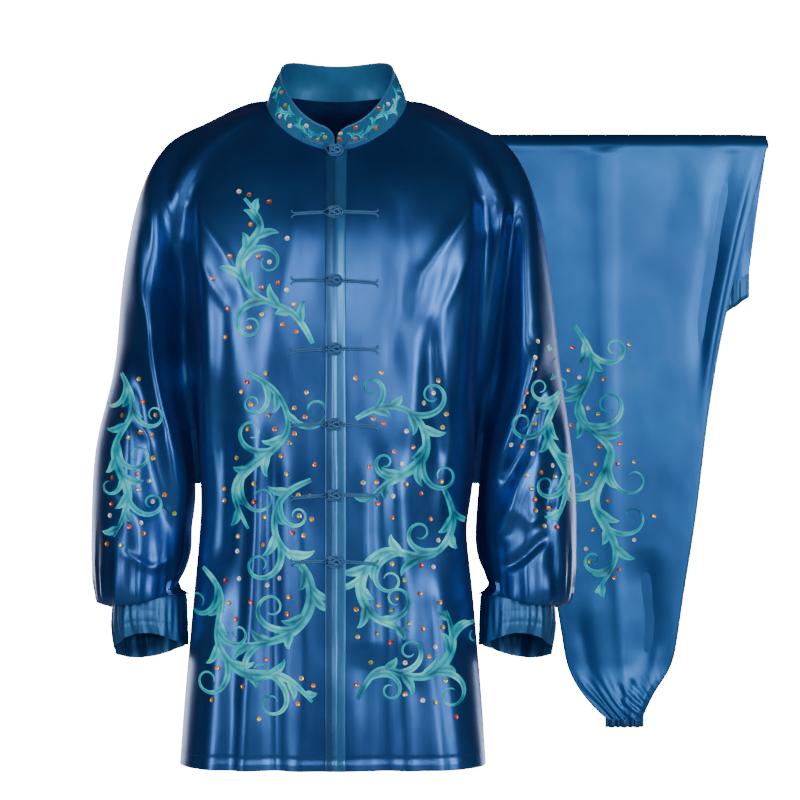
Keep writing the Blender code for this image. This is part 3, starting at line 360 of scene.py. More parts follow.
def jacket_net(side):
    """One half of the jacket's net, rows by columns by three, with x outwards."""
    neck = neck_ring(NECK_ANGLES, NECK_HALF_WIDTH, NECK_HALF_DEPTH, NECK_CENTRE_Y, NECK_HEIGHTS)
    neck[:, 0] = np.maximum(neck[:, 0], CENTRE_GAP)
    rows = [neck]
    for row, section in enumerate(UPPER_SECTIONS, start=1):
        front, wing, back = ring_row(section, row)
        rows.append([*front, *wing, *back])
    for body, sleeve in zip(BODY_SECTIONS, SLEEVE_SECTIONS):
        front, _, back = ring_row(body, None)
        rows.append([*front, *sleeve_row(sleeve), *back])
    net = np.array([np.array(row, float) for row in rows])
    lower = slice(UNDERARM_ROW + 1, None)
    net[lower, [FRONT_SIDE, BACK_SIDE], 0] += BODY_SWAY[side]
    net[lower, [FRONT_SIDE - 1, BACK_SIDE + 1], 0] += 0.6 * BODY_SWAY[side]
    net[lower, FRONT_INNER : BACK_INNER + 1, 0] += SLEEVE_SWAY[side]
    return net


NETS = {side: jacket_net(side) for side in (-1, 1)}
LAST_ROW = len(NETS[1]) - 1


def travelled(points):
    """How far each point lies along the chain of points."""
    return np.concatenate([[0], np.cumsum(np.linalg.norm(np.diff(points, axis=0), axis=1))])


def open_curve(net_row, columns, at):
    """The curve through some columns of one row, at places given in column numbers."""
    stations = travelled(net_row[columns])
    return natural_spline(stations, net_row[columns], np.interp(at, columns, stations))


def closed_curve(ring, shares):
    """The closed curve through a ring's points, at shares of the way round, counted in points."""
    stations = travelled(np.concatenate([ring, ring[:1]]))
    length = stations[-1]
    wide = np.concatenate([stations[:-1] - length, stations[:-1], stations[:-1] + length])
    return natural_spline(wide, np.tile(ring, (3, 1)), np.interp(shares, range(len(ring) + 1), stations))


def along_path(points, path):
    """How far points lie from a path across and up, on which side of it, and the share of it reached."""
    path = np.array(path, float)
    across_up = points[..., [0, 2]]
    lengths = np.linalg.norm(np.diff(path, axis=0), axis=1)
    nearest, reached = np.full(points.shape[:-1], np.inf), np.zeros(points.shape[:-1])
    hand, before = np.ones(points.shape[:-1]), 0.0
    for start, end, length in zip(path[:-1], path[1:], lengths):
        way = end - start
        along = np.clip(((across_up - start) @ way) / length**2, 0, 1)
        offset = across_up - (start + along[..., None] * way)
        away = np.linalg.norm(offset, axis=-1)
        closer = away < nearest
        reached = np.where(closer, before + along * length, reached)
        hand = np.where(closer, np.sign(offset[..., 1] * way[0] - offset[..., 0] * way[1]), hand)
        nearest = np.where(closer, away, nearest)
        before += length
    return nearest, hand, reached / lengths.sum()


def fold_shift(points):
    """How far the folds and creases move points in depth."""
    shift = np.zeros(points.shape[:-1])
    for fold in (*FOLDS, *CREASES):
        nearest, hand, share = along_path(points, fold.path)
        ends = smooth(share / FOLD_END_SHARE)
        if fold.path[-1][1] > HEM_FOLD_END:
            ends = ends * smooth((1 - share) / FOLD_END_SHARE)
        facing = smooth(fold.face * (points[..., 1] - BACK_CENTRE_Y) / FOLD_FADE_DEPTH)
        width, power = fold.width, FOLD_POWER
        if isinstance(fold, Crease):
            width = np.where(hand > 0, fold.width * fold.lean, fold.width)
            power = CREASE_POWER
        shift += fold.face * fold.depth * np.exp(-((nearest / width) ** power)) * ends * facing
    return shift


def seam_gap(place):
    """Half of what parts front from back at a row below the underarm."""
    return SEAM_HALF_GAP + (UNDERARM_HALF_GAP - SEAM_HALF_GAP) * float(smooth(1 - (place - UNDERARM_ROW)))


def net_rows(side, row_places):
    """The net's rows at places, with the seam points below the underarm the seam's gap apart."""
    rows = natural_spline(range(LAST_ROW + 1), NETS[side], row_places)
    for row, place in zip(rows, row_places):
        if place >= UNDERARM_ROW:
            for front, back in ((FRONT_SIDE, BACK_SIDE), (FRONT_INNER, BACK_INNER)):
                middle, gap = (row[front] + row[back]) / 2, np.array([0, seam_gap(place), 0])
                row[front], row[back] = middle - gap, middle + gap
    return rows


def drape(side, column_places, row_places):
    """Points of the jacket's outer surface as rows by columns by three, at places given in net numbers. side
    is 1 for the wearer's left and -1 for the right. Columns may be given once, or for each row."""
    row_places = np.asarray(row_places, float)
    places = np.broadcast_to(column_places, (len(row_places), np.shape(column_places)[-1]))
    rows = net_rows(side, row_places)
    points = np.zeros((*places.shape, 3))
    for i, (row, place) in enumerate(zip(rows, row_places)):
        at = places[i]
        wing = (at >= FRONT_INNER) & (at <= BACK_INNER)
        floor_of_recess = ((at > FRONT_SIDE) & (at < FRONT_INNER)) | ((at > BACK_INNER) & (at < BACK_SIDE))
        whole = open_curve(row, list(range(COLUMN_COUNT)), at)
        around = closed_curve(row[WING_COLUMNS], np.clip(at - FRONT_INNER, 0, len(WING_COLUMNS) - 1))
        parted = np.where(wing[:, None], around, open_curve(row, BODY_COLUMNS, at))
        weight = float(smooth((place - BLEND_FROM) / (UNDERARM_ROW - BLEND_FROM)))
        weights = np.where(floor_of_recess, 0.0, weight)[:, None]
        points[i] = (1 - weights) * whole + weights * parted
    points[..., 0] *= side
    points[..., 1] += fold_shift(points)
    keep_seams_apart(points, places, row_places, rows)
    return points


def keep_seams_apart(points, places, row_places, rows):
    """Keeps front and back to their own side of the seams below the underarm, and parts them at the vents."""
    body = (places <= FRONT_SIDE) | (places >= BACK_SIDE)
    in_front = places <= OUTER
    for i, (row, place) in enumerate(zip(rows, row_places)):
        if place < UNDERARM_ROW - 1:
            continue
        body_y = row[[FRONT_SIDE, BACK_SIDE], 1].mean()
        sleeve_y = row[[FRONT_INNER, BACK_INNER], 1].mean()
        seam_y = np.where(body[i], body_y, sleeve_y)
        if place < UNDERARM_ROW:
            seam_y[:] = BACK_CENTRE_Y
        gap = seam_gap(place)
        y = points[i, :, 1]
        near_seam = np.abs(places[i] - np.where(in_front[i], FRONT_SIDE + 0.5, BACK_INNER + 0.5)) < SEAM_REACH
        at_edge = np.isin(places[i], [FRONT_SIDE, FRONT_INNER, BACK_INNER, BACK_SIDE])
        seam_row = at_edge & (place >= UNDERARM_ROW)
        front = np.where(seam_row, seam_y - gap, np.minimum(y, seam_y - gap))
        back = np.where(seam_row, seam_y + gap, np.maximum(y, seam_y + gap))
        y[:] = np.where(near_seam, np.where(in_front[i], front, back), y)
    drop = np.clip((VENT_TOP - points[..., 2]) / (VENT_TOP - BODY_SECTIONS[-1].side[2]), 0, None)
    nearness = smooth(1 - np.abs(places - np.where(in_front, FRONT_SIDE, BACK_SIDE)) / VENT_REACH)
    opening = np.where(in_front, -VENT_FRONT, VENT_BACK) * nearness * drop**1.5
    points[..., 1] += np.where(body, opening, 0)


def spread(*stops):
    """Places along a net: pairs of a place and the number of steps that lead to it from the one before."""
    places = [stops[0][0]]
    for place, steps in stops[1:]:
        places += list(np.linspace(places[-1], place, steps + 1)[1:])
    return places


# The cloth's slight unevenness: height, width, length and place in the noise of the long soft waves that run
# down it, and of a finer crumple.
WAVES = ((1.5, 34, 150, 3.7), (0.6, 15, 48, 9.1))
GATHERS_MIDDLE, GATHER_DEPTH = (212, -15), 1.5
GATHERS_FROM, GATHERS_RISE, SLEEVE_END, SLEEVE_END_RISE = -455.0, 110, -575, 14
HEM_TURN_UP, TURN_UP_PROUD = 12.5, 0.45
GROOVE_DEPTH, GROOVE_WIDTH = 0.8, 1.6  # where the turn-up is stitched down
MEETING = 0.02  # half of what is left between edges that meet at the centre
FACING_SAMPLE = 400  # how many faces decide which way a cloth is turned


def wobble(points, face, waves):
    """How far waves move points in depth."""
    shift = np.zeros(points.shape[:-1])
    for index in np.ndindex(shift.shape):
        x, _, z = points[index]
        for height, wide, long, place in waves:
            shift[index] += height * noise.noise(Vector((x / wide, face * place, z / long)))
    return shift


def gathered(points, side, places):
    """How far the gathers over the cuff push the sleeve's cloth outwards, level with the ground."""
    middle = np.array([side * (GATHERS_MIDDLE[0] + SLEEVE_SWAY[side]), GATHERS_MIDDLE[1]])
    out = points[..., :2] - middle
    turn = np.arctan2(out[..., 1], out[..., 0] * side)
    out = out / np.maximum(np.linalg.norm(out, axis=-1, keepdims=True), 1e-6)
    deep = smooth((GATHERS_FROM - points[..., 2]) / GATHERS_RISE)
    deep = deep * smooth((points[..., 2] - SLEEVE_END) / SLEEVE_END_RISE + 0.25)
    wave = np.cos(19 * turn + 1.3 * np.sin(3 * turn) + 0.02 * points[..., 2])
    wave = wave + 0.5 * np.cos(31 * turn + 2 + 0.9 * np.sin(2 * turn))
    wing = (places >= FRONT_INNER) & (places <= BACK_INNER)
    return out * (GATHER_DEPTH * deep * wave * wing)[..., None]


SEAM_STEP = 0.004
FRONT_ROWS = spread((0, 0), (1, 17), (UNDERARM_ROW, 96), (LAST_ROW - 2, 58), (LAST_ROW, 48))
BACK_ROWS = spread((0, 0), (1, 13), (UNDERARM_ROW, 66), (LAST_ROW - 2, 42), (LAST_ROW, 34))
FRONT_COLUMNS = (
    spread((0, 0), (2, 36), (FRONT_SIDE - 0.06, 16), (FRONT_SIDE, 1)),
    spread((FRONT_INNER, 0), (FRONT_INNER + 0.06, 1), (5, 20), (OUTER - SEAM_STEP, 22)),
)
BACK_COLUMNS = (
    spread((CENTRE_BACK, 0), (10, 30), (BACK_SIDE + 0.06, 12), (BACK_SIDE, 1)),
    spread((BACK_INNER, 0), (BACK_INNER - 0.06, 1), (7, 15), (OUTER + SEAM_STEP, 17)),
)


def worn(side, columns, rows):
    """The jacket's surface with all that the looks add to it, where face is taken from the columns."""
    points = drape(side, columns, rows)
    places = np.broadcast_to(columns, points.shape[:-1])
    face = np.where(places <= OUTER, -1, 1)
    points[..., 1] += face * wobble(points, float(face.flat[0]), WAVES)
    above_hem = points[..., 2] - points[-1:, :, 2]
    turn_up = TURN_UP_PROUD * smooth((HEM_TURN_UP + 0.5 - above_hem) / 1.5)
    stitched_down = -GROOVE_DEPTH * np.exp(-(((above_hem - HEM_TURN_UP) / GROOVE_WIDTH) ** 2))
    body = (places <= FRONT_SIDE) | (places >= BACK_SIDE)
    points[..., 1] += face * np.where(body, turn_up + stitched_down, 0)
    points[..., :2] += gathered(points, side, places)
    return points


def mesh_object(name, points, faces, layer=None, places=None, outwards=False):
    """An object from points in millimetres, without those that no face uses. layer names its UV map, and
    places are a pair for each corner of its faces. outwards turns the faces of closed shells outwards."""
    mesh = bpy.data.meshes.new(name)
    mesh.from_pydata((np.array(points).reshape(-1, 3) * MM).tolist(), [], faces)
    if layer:
        mesh.uv_layers.new(name=layer)
    if places is not None:
        mesh.uv_layers[layer].data.foreach_set("uv", np.array(places, float).ravel())
    shell = bmesh.new()
    shell.from_mesh(mesh)
    bmesh.ops.delete(shell, geom=[v for v in shell.verts if not v.link_faces], context="VERTS")
    if outwards:
        bmesh.ops.recalc_face_normals(shell, faces=shell.faces)
    shell.to_mesh(mesh)
    shell.free()
    obj = bpy.data.objects.new(name, mesh)
    bpy.context.scene.collection.objects.link(obj)
    return obj


def cloth_object(name, points, away_from, gone=None, wall=WALL, closed=False):
    """A sheet through rows by columns of points, in millimetres, with its wall on the inner side. gone tells
    which cells are left out, and its UV map measures metres across and along the cloth."""
    rows, columns = points.shape[:2]
    across = np.linalg.norm(np.diff(points, axis=1), axis=-1).mean(axis=0)
    along = np.linalg.norm(np.diff(points, axis=0), axis=-1).mean(axis=1)
    u, v = np.concatenate([[0], np.cumsum(across)]) * MM, -np.concatenate([[0], np.cumsum(along)]) * MM
    place = np.arange(rows * columns).reshape(rows, columns)
    if closed:
        place[:, -1] = place[:, 0]
    corners = [
        [(r, c), (r, c + 1), (r + 1, c + 1), (r + 1, c)]
        for r in range(rows - 1)
        for c in range(columns - 1)
        if gone is None or not gone(r, c)
    ]
    middle = np.array(away_from)
    sample = corners[:: max(1, len(corners) // FACING_SAMPLE)]
    faced = 0.0
    for quad in sample:
        a, b, c, d = (points[corner] for corner in quad)
        faced += float(np.cross(c - a, d - b) @ ((a + c) / 2 - middle))
    if faced < 0:
        corners = [quad[::-1] for quad in corners]
    faces = [[int(place[corner]) for corner in quad] for quad in corners]
    obj = mesh_object(name, points, faces, "cloth", [(u[c], v[r]) for quad in corners for r, c in quad])
    if wall:
        thicken(obj, wall)
    return obj


def thicken(obj, wall):
    """Gives an open surface its wall on the inner side, and keeps its rim crisp."""
    bpy.ops.object.select_all(action="DESELECT")
    obj.select_set(True)
    bpy.context.view_layer.objects.active = obj
    modifier = obj.modifiers.new("wall", "SOLIDIFY")
    modifier.thickness, modifier.offset = wall * MM, -1
    bpy.ops.object.modifier_apply(modifier=modifier.name)
    bpy.ops.object.shade_smooth_by_angle(angle=math.radians(60))
    obj.select_set(False)


WAVE_UNIT, FLOAT_SPACING = 0.314, 0.0009  # the wave texture's scale for one band a metre, and metres


def satin_material(name, colours, roughness=0.31, metallic=0.62):
    """Polyester charmeuse: floats of bright filament lie side by side, so it shines like soft metal along
    them and its highlights are broad and tinted. The floats are 0.1 mm apart, too fine to show, and are
    drawn 0.9 mm apart. Dye and light wear vary slowly over the cloth."""
    material, tree, shader = new_material(name)
    place = add_node(tree, "TexCoord")
    cloth = add_node(tree, "UVMap", {"uv_map": "cloth"})
    slow = add_node(tree, "TexNoise", inputs={"Vector": place.outputs["Object"], "Scale": 9.0, "Detail": 3.0})
    floats = add_node(tree, "TexWave", {"wave_type": "BANDS", "bands_direction": "X", "wave_profile": "SIN"}, {
        "Vector": cloth.outputs["UV"], "Scale": WAVE_UNIT / FLOAT_SPACING,
        "Distortion": 1.2, "Detail": 2.0, "Detail Scale": 0.6,
    })
    slub = add_node(tree, "Mapping", inputs={"Vector": cloth.outputs["UV"], "Scale": (900.0, 60.0, 1.0)})
    streak = add_node(tree, "TexNoise", inputs={"Vector": slub.outputs["Vector"], "Scale": 1.0, "Detail": 2.0})
    both = add_node(tree, "Math", {"operation": "MULTIPLY_ADD"}, {
        0: floats.outputs["Fac"], 1: 0.5, 2: streak.outputs[0],
    })
    relief = add_node(tree, "Bump", inputs={"Height": both.outputs[0], "Strength": 0.10, "Distance": 0.0002})
    tangent = add_node(tree, "Tangent", {"direction_type": "UV_MAP", "uv_map": "cloth"})
    wear = add_node(tree, "MapRange", inputs={
        "Value": streak.outputs[0], "To Min": roughness - 0.04, "To Max": roughness + 0.05,
    })
    set_inputs(shader, {
        "Base Color": ramp(tree, slow.outputs[0], list(zip((0.28, 0.5, 0.72), colours))),
        "Normal": relief.outputs["Normal"], "Tangent": tangent.outputs["Tangent"],
        "Roughness": wear.outputs["Result"], "Metallic": metallic, "Anisotropic": 0.45, "IOR": 1.55,
        "Sheen Weight": 0.16, "Sheen Tint": linear("#8a6fc8"), "Sheen Roughness": 0.4,
    })
    return material


blue_satin = satin_material("blue_polyester_satin", ("#224b8c", "#28579b", "#2f65ad"), metallic=0.74)

panels = {}
for side, word in WORDS.items():
    for part, (body, wing), rows in (("front", FRONT_COLUMNS, FRONT_ROWS), ("back", BACK_COLUMNS, BACK_ROWS)):
        slit, underarm = len(body) - 1, rows.index(UNDERARM_ROW)
        surface = worn(side, [*body, *wing], rows)
        surface[:, 0, 0] = side * MEETING  # the fronts meet, and the backs are sewn edge to edge
        piece = cloth_object(
            f"satin_{part}_{word}", surface, (side * 120, BACK_CENTRE_Y, -400),
            gone=lambda row, column: row >= underarm and column == slit,
        )
        piece.data.materials.append(blue_satin)
        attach(piece, "root")
        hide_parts(f"{part}_{word}")
        panels[part, side] = piece

# The two narrow bands that bind the front edges: straight strips of the same satin, folded over the edge, pressed,
# and stitched down along each side, so they lie slightly crowned with rolled edges. The band on the wearer's left
# is given lighter colours and the one on the right darker ones, as painted light and painted shade.
BANDS = {-1: 10.5, 1: 12.5}
BAND_SHARES = np.array([0, 0.04, 0.12, 0.25, 0.4, 0.55, 0.7, 0.82, 0.92, 0.97, 1.0])
BAND_PROUD, BAND_EDGE_PROUD = 1.6, 0.35
# the same satin as a lighter copy on the wearer's left and a darker copy on the right: painted light and painted
# shade
BAND_LIT_AND_SHADED_COLOURS = {-1: ("#264f82", "#2c5c92", "#336aa3"), 1: ("#2f6ba4", "#3a7cb6", "#468dc8")}

band_satin_painted_light = {side: satin_material(f"band_satin_painted_light_{WORDS[side]}", BAND_LIT_AND_SHADED_COLOURS[side]) for side in (-1, 1)}


def surface_normals(points):
    """Unit normals of a grid of points, turned to the side that x and y grow to from its rows."""
    across, along = np.gradient(points, axis=1), np.gradient(points, axis=0)
    normals = np.cross(across, along)
    return normals / np.maximum(np.linalg.norm(normals, axis=-1, keepdims=True), 1e-9)


bands = {}
for side, word in WORDS.items():
    net = net_rows(side, FRONT_ROWS)
    first = np.linalg.norm(net[:, 1] - net[:, 0], axis=-1)
    places = (BANDS[side] / first)[:, None] * BAND_SHARES[None, :]
    lying = worn(side, places, FRONT_ROWS)
    normals = surface_normals(lying)
    normals *= np.sign((normals * (0, -1, 0)).sum(axis=-1, keepdims=True))
    crown = 1 - np.abs(2 * BAND_SHARES - 1) ** 6
    rolled = BAND_EDGE_PROUD + (BAND_PROUD - BAND_EDGE_PROUD) * crown
    lying = lying + normals * rolled[None, :, None]
    lying[1:, 0, 0] = side * MEETING
    piece = cloth_object(f"front_band_{word}_satin", lying, (0, 0, -400), wall=0.9)
    piece.data.materials.append(band_satin_painted_light[side])
    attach(piece, "root")
    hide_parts(f"front_band_{word}")
    bands[side] = piece

# The stand collar: two layers of satin over an interlining, cut on a curve, with rounded front corners that
# meet over the throat. A bias binding is turned over its upper edge and stitched.
COLLAR_TOP = (66.0, 56.0, -6.0, (33.75, -41.5, -14.25))  # half width, half depth, centre and heights
COLLAR_CORNER, COLLAR_END_ANGLE = 17.0, 1.5
COLLAR_GAP = 1.7
COLLAR_WALL = 1.6
BINDING = 1.15  # radius of the bound edge


def outward_from_neck(points):
    """Level unit directions from the neck's middle to the points."""
    outward = (points - (0, NECK_CENTRE_Y, 0)) * (1, 1, 0)
    return outward / np.linalg.norm(outward, axis=-1, keepdims=True)


def collar_points(angles, shares, gap=COLLAR_GAP):
    """Points of the collar's outer face, rows by angle, with its front corners rounded off."""
    base = neck_ring(angles, NECK_HALF_WIDTH, NECK_HALF_DEPTH, NECK_CENTRE_Y, NECK_HEIGHTS)
    top = neck_ring(angles, *COLLAR_TOP)
    rise = top - base
    height = np.linalg.norm(rise, axis=-1)
    from_end = np.radians(np.minimum(angles, 360 - angles) - COLLAR_END_ANGLE) * NECK_HALF_WIDTH
    inside = np.clip(1 - from_end / COLLAR_CORNER, 0, 1)
    usable = 1 - COLLAR_CORNER * (1 - np.sqrt(1 - inside**2)) / height
    start = gap / height
    points = []
    for share in shares:
        along = start + share * (usable - start)
        point = base + rise * along[:, None]
        points.append(point + outward_from_neck(base) * 1.5 * math.sin(math.pi * share))
    return np.array(points)


COLLAR_ENDS = COLLAR_END_ANGLE + 9 * np.linspace(0, 1, 14) ** 1.8
COLLAR_ANGLES = np.concatenate([COLLAR_ENDS, np.linspace(12, 348, 150), 360 - COLLAR_ENDS[::-1]])
collar_satin = satin_material("collar_satin", ("#2f78b4", "#3a88c4", "#4797d0"), roughness=0.40, metallic=0.5)
standing = collar_points(COLLAR_ANGLES, np.linspace(0, 1, 15), gap=-0.6)
pucker = np.array([[noise.noise(Vector((a / 4.5, s / 5, 0.3))) for a in COLLAR_ANGLES] for s in range(15)])
standing = standing + outward_from_neck(standing) * (0.35 * pucker)[..., None]
collar = cloth_object("stand_collar", standing, (0, NECK_CENTRE_Y, -10), wall=COLLAR_WALL)
collar.data.materials.append(collar_satin)
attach(collar, "root")
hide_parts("collar")


def round_cord(name, path, radius, material, sides=8, closed=False):
    """A cord with rounded ends through the points of path, in millimetres. Its UV map gives the share of the
    way round it, and metres along it."""
    path = np.array(path, float)
    count = len(path)
    ahead = np.roll(path, -1, axis=0) - np.roll(path, 1, axis=0)
    if not closed:
        ahead[0], ahead[-1] = path[1] - path[0], path[-1] - path[-2]
    ahead /= np.linalg.norm(ahead, axis=1, keepdims=True)
    normal = np.cross(ahead[0], (0, 1, 0.02))
    frames = []
    for way in ahead:
        normal = normal - (normal @ way) * way
        normal /= np.linalg.norm(normal)
        frames.append((normal, np.cross(way, normal)))
    length = travelled(path)
    radii = np.full(count, float(radius))
    if not closed:
        radii *= np.sqrt(np.clip(np.minimum(length, length[-1] - length) / radius, 0.05, 1))
    turn = np.linspace(0, 2 * math.pi, sides, endpoint=False)
    rings = np.array([
        point + r * (np.cos(turn)[:, None] * a + np.sin(turn)[:, None] * b)
        for point, r, (a, b) in zip(path, radii, frames)
    ])
    index = np.arange(count * sides).reshape(count, sides)
    laps = count if closed else count - 1
    quads, places = [], []
    for i in range(laps):
        j = (i + 1) % count
        for k in range(sides):
            m = (k + 1) % sides
            quads.append((int(index[i, k]), int(index[i, m]), int(index[j, m]), int(index[j, k])))
            ends = length[i], length[i + 1] if i + 1 < count else length[i] + radius
            around = (k / sides, (k + 1) / sides)
            places += [(around[0], ends[0]), (around[1], ends[0]), (around[1], ends[1]), (around[0], ends[1])]
    faces = quads
    if not closed:
        faces = [*quads, tuple(map(int, index[0][::-1])), tuple(map(int, index[-1]))]
        places += [(0, 0)] * sides + [(0, length[-1])] * sides
    cord = mesh_object(name, rings, faces, "cord", np.array(places, float) * (1.0, MM), outwards=True)
    cord.data.shade_smooth()
    cord.data.materials.append(material)
    return cord


def joined(name, parts):
    """Several objects made one."""
    bpy.ops.object.select_all(action="DESELECT")
    for part in parts:
        part.select_set(True)
    bpy.context.view_layer.objects.active = parts[0]
    bpy.ops.object.join()
    whole = bpy.context.view_layer.objects.active
    whole.name = whole.data.name = name
    whole.select_set(False)
    return whole


def cord_material_painted_shade(name, colours, turn_mm):
    """Satin rat-tail cord: a rolled tube of the cloth, whose floats run slantwise round it in short dashes. The
    raised dashes are painted lighter and the grooves between them darker, as painted highlight and painted shade.
    turn_mm is the length of one turn."""
    material, tree, shader = new_material(name)
    lie = add_node(tree, "UVMap", {"uv_map": "cord"})
    turns = (1.0, 1 / (turn_mm * MM), 1.0)
    scaled = add_node(tree, "Mapping", inputs={"Vector": lie.outputs["UV"], "Scale": turns})
    split = add_node(tree, "SeparateXYZ", inputs={"Vector": scaled.outputs["Vector"]})
    slant = add_node(tree, "Math", {"operation": "ADD"}, {0: split.outputs["X"], 1: split.outputs["Y"]})
    phase = add_node(tree, "Math", {"operation": "MULTIPLY"}, {0: slant.outputs[0], 1: 2 * math.pi * 2})
    wave = add_node(tree, "Math", {"operation": "SINE"}, {0: phase.outputs[0]})
    level = add_node(tree, "MapRange", inputs={"Value": wave.outputs[0], "From Min": -1.0, "From Max": 1.0})
    raised = level.outputs["Result"]
    relief = add_node(tree, "Bump", inputs={"Height": raised, "Strength": 0.5, "Distance": 0.0003})
    set_inputs(shader, {
        # painted highlight and shade: the colour runs from dark in the grooves to light on the raised dashes
        "Base Color": ramp(tree, raised, list(zip((0.1, 0.55, 1.0), colours))),
        "Normal": relief.outputs["Normal"], "Roughness": 0.42, "Metallic": 0.35, "Sheen Weight": 0.15,
    })
    return material


binding_cord = cord_material_painted_shade("satin_binding", ("#2c72ae", "#3c8ac6", "#56a5dc"), 5.0)
FIRST_BOUND, LAST_BOUND = COLLAR_END_ANGLE + 0.3, 360 - COLLAR_END_ANGLE - 0.3
rim = collar_points(np.linspace(FIRST_BOUND, LAST_BOUND, 260), (1.0,), gap=0.5)[0]
ends = [
    collar_points(np.array([angle]), np.linspace(0.05, 0.95, 10), gap=0.5)[:, 0]
    for angle in (FIRST_BOUND, LAST_BOUND)
]
edge = np.concatenate([ends[0], rim, ends[1][::-1]])
edge -= outward_from_neck(edge) * COLLAR_WALL / 2
binding = round_cord("collar_binding", edge, BINDING, binding_cord)
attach(binding, "root")

# The cuffs: a short tube of satin doubled over a wide elastic, which draws it into small even gathers that
# deepen towards the wrist. Two rows of stitching hold the elastic.
CUFF_SECTIONS = (
    Sleeve((166.6, -16, -556.5), (212, -59.2, -553), (252.2, -18, -560), (213, 25.2, -569)),
    Sleeve((166, -19, -588), (210, -62, -577), (254, -20, -592), (211, 25, -601)),
    Sleeve((166, -22, -613), (208, -62, -596), (250, -22, -620), (209, 19, -630)),
)
CUFF_GATHERS, CUFF_GATHER_DEPTH = 11, 1.6
CUFF_SEAMS, CUFF_SEAM_DEPTH = (0.36, 0.64), 0.5
CUFF_WALL = 0.9
TURNED_IN, TURNED_UP = 1.6, 2.5  # how the cuff's upper edge lies inside the sleeve
cuff_satin = satin_material("cuff_satin", ("#1d4f83", "#245c94", "#2c6ba8"), roughness=0.42)
for side, word in WORDS.items():
    net = np.array([sleeve_row(section) for section in CUFF_SECTIONS], float)
    down = np.linspace(0, len(net) - 1, 22)
    points = []
    for row in natural_spline(range(len(net)), net, down):
        stations = travelled([*row, row[0]])
        around = np.linspace(0, stations[-1], 199)
        points.append(closed_curve(row, np.interp(around, stations, range(len(row) + 1))))
    points = np.array(points)
    outward = (points - points[:, :-1].mean(axis=1, keepdims=True)) * (1, 1, 0)
    outward /= np.linalg.norm(outward, axis=-1, keepdims=True)
    share = np.linspace(0, 1, len(down))
    growth = np.interp(share, (0, 0.33, 0.66, 1), (0, 0.2, 0.6, 1.0))
    turn = 2 * math.pi * np.linspace(0, 1, points.shape[1])
    main = CUFF_GATHER_DEPTH * growth[:, None] * np.cos(CUFF_GATHERS * turn + 0.25 * np.sin(3 * turn))
    ripple = np.cos(29 * turn + 1.1 * np.sin(2 * turn + side))
    small = 0.55 * np.sin(math.pi * np.clip(share, 0.08, 1))[:, None] * ripple
    stitched = -CUFF_SEAM_DEPTH * sum(np.exp(-(((share - at) / 0.03) ** 2)) for at in CUFF_SEAMS)
    points += outward * (main + small + stitched[:, None])[..., None]
    points[0] -= outward[0] * TURNED_IN
    points[0, :, 2] += TURNED_UP
    points[:, -1] = points[:, 0]
    points[..., 0] = (points[..., 0] + SLEEVE_SWAY[side]) * side
    middle = (side * 208, -18, -590)
    cuff = cloth_object(f"elastic_cuff_{word}", points, middle, closed=True, wall=CUFF_WALL)
    cuff.data.materials.append(cuff_satin)
    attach(cuff, "root")
    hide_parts(f"cuff_{word}")

# The seven frogs: rat-tail cord of the same satin, laid double and sewn down flat with its ends turned out.
# On the wearer's right the cord ends in a loop, and on the left it carries a button knot tied from itself.
FROG_HEIGHTS = (-120, -197, -274, -358, -437, -511)
FROG_TILTS = (0.012, -0.03, 0.02, -0.016, 0.03, -0.02)  # no two straps were sewn on quite level
FROG_REACH, FROG_END, FROG_CORD, FROG_LANE = 48.5, 4.8, 1.95, 1.05
KNOT = (8.6, 5.2, 6.0)  # half width, depth and height
FROG_SAG = 0.0009  # by the square of the distance from the middle
COLLAR_FROG_ANGLE, COLLAR_FROG_SHARE = 27.0, 0.165
KNOT_CORD, KNOT_INSET = 1.28, (1.5, 0.4, 1.7)
IN_FRONT = 400.0  # where rays start, before everything
frog_cord = cord_material_painted_shade("satin_rat_tail_cord", ("#1b4a80", "#2f6ba8", "#5aa0d8"), 4.2)
# the ball inside each knot takes a much darker copy of the cord's colours: painted shade in the gaps between the
# strands
knot_core_painted_shade = cord_material_painted_shade("knot_core_painted_shade", ("#081f42", "#0c2a52", "#123763"), 4.0)


def tree_of(objects):
    """The objects' faces, for finding where something lies on them."""
    mesh = bmesh.new()
    for obj in objects:
        mesh.from_mesh(obj.data)
    tree = BVHTree.FromBMesh(mesh)
    mesh.free()
    return tree


def depth_at(tree, x, z):
    """How deep the nearest face lies, seen from the front at x and z."""
    hit = tree.ray_cast(Vector((x, -IN_FRONT, z)) * MM, Vector((0, 1, 0)))[0]
    return hit.y / MM if hit else math.nan


def strap_line(is_loop, reach):
    """The doubled cord of one strap, as distances along it and above its middle. The loop goes on round the
    far side of the knot, and the other strap ends behind it."""
    end = [(reach - 1.2, FROG_END), (reach, FROG_END - 1.3), (reach - 0.8, 2.3), (reach - 3.2, 1.25)]
    run = [(reach - 7, FROG_LANE), (30, FROG_LANE), (20, FROG_LANE), (13.5, FROG_LANE + 0.1)]
    if is_loop:
        tip = [(9.8, 2.4), (6.0, 5.2), (0.5, 6.1), (-5.0, 5.1), (-7.9, 2.4), (-8.5, 0)]
    else:
        tip = [(10.0, 1.0), (7.6, 0.8), (6.6, 0)]
    upper = [*end, *run, *tip]
    line = np.array([*upper, *[(along, -up) for along, up in reversed(upper[:-1])]], float)
    stations = travelled(line)
    fine = np.arange(0, stations[-1], 0.8)
    return natural_spline(stations, line, fine)


def eased(values, reach):
    """Values smoothed along a line, so a cord eases over what lies under it."""
    padded = np.pad(values, reach, mode="edge")
    return np.convolve(padded, np.ones(2 * reach + 1) / (2 * reach + 1), mode="valid")


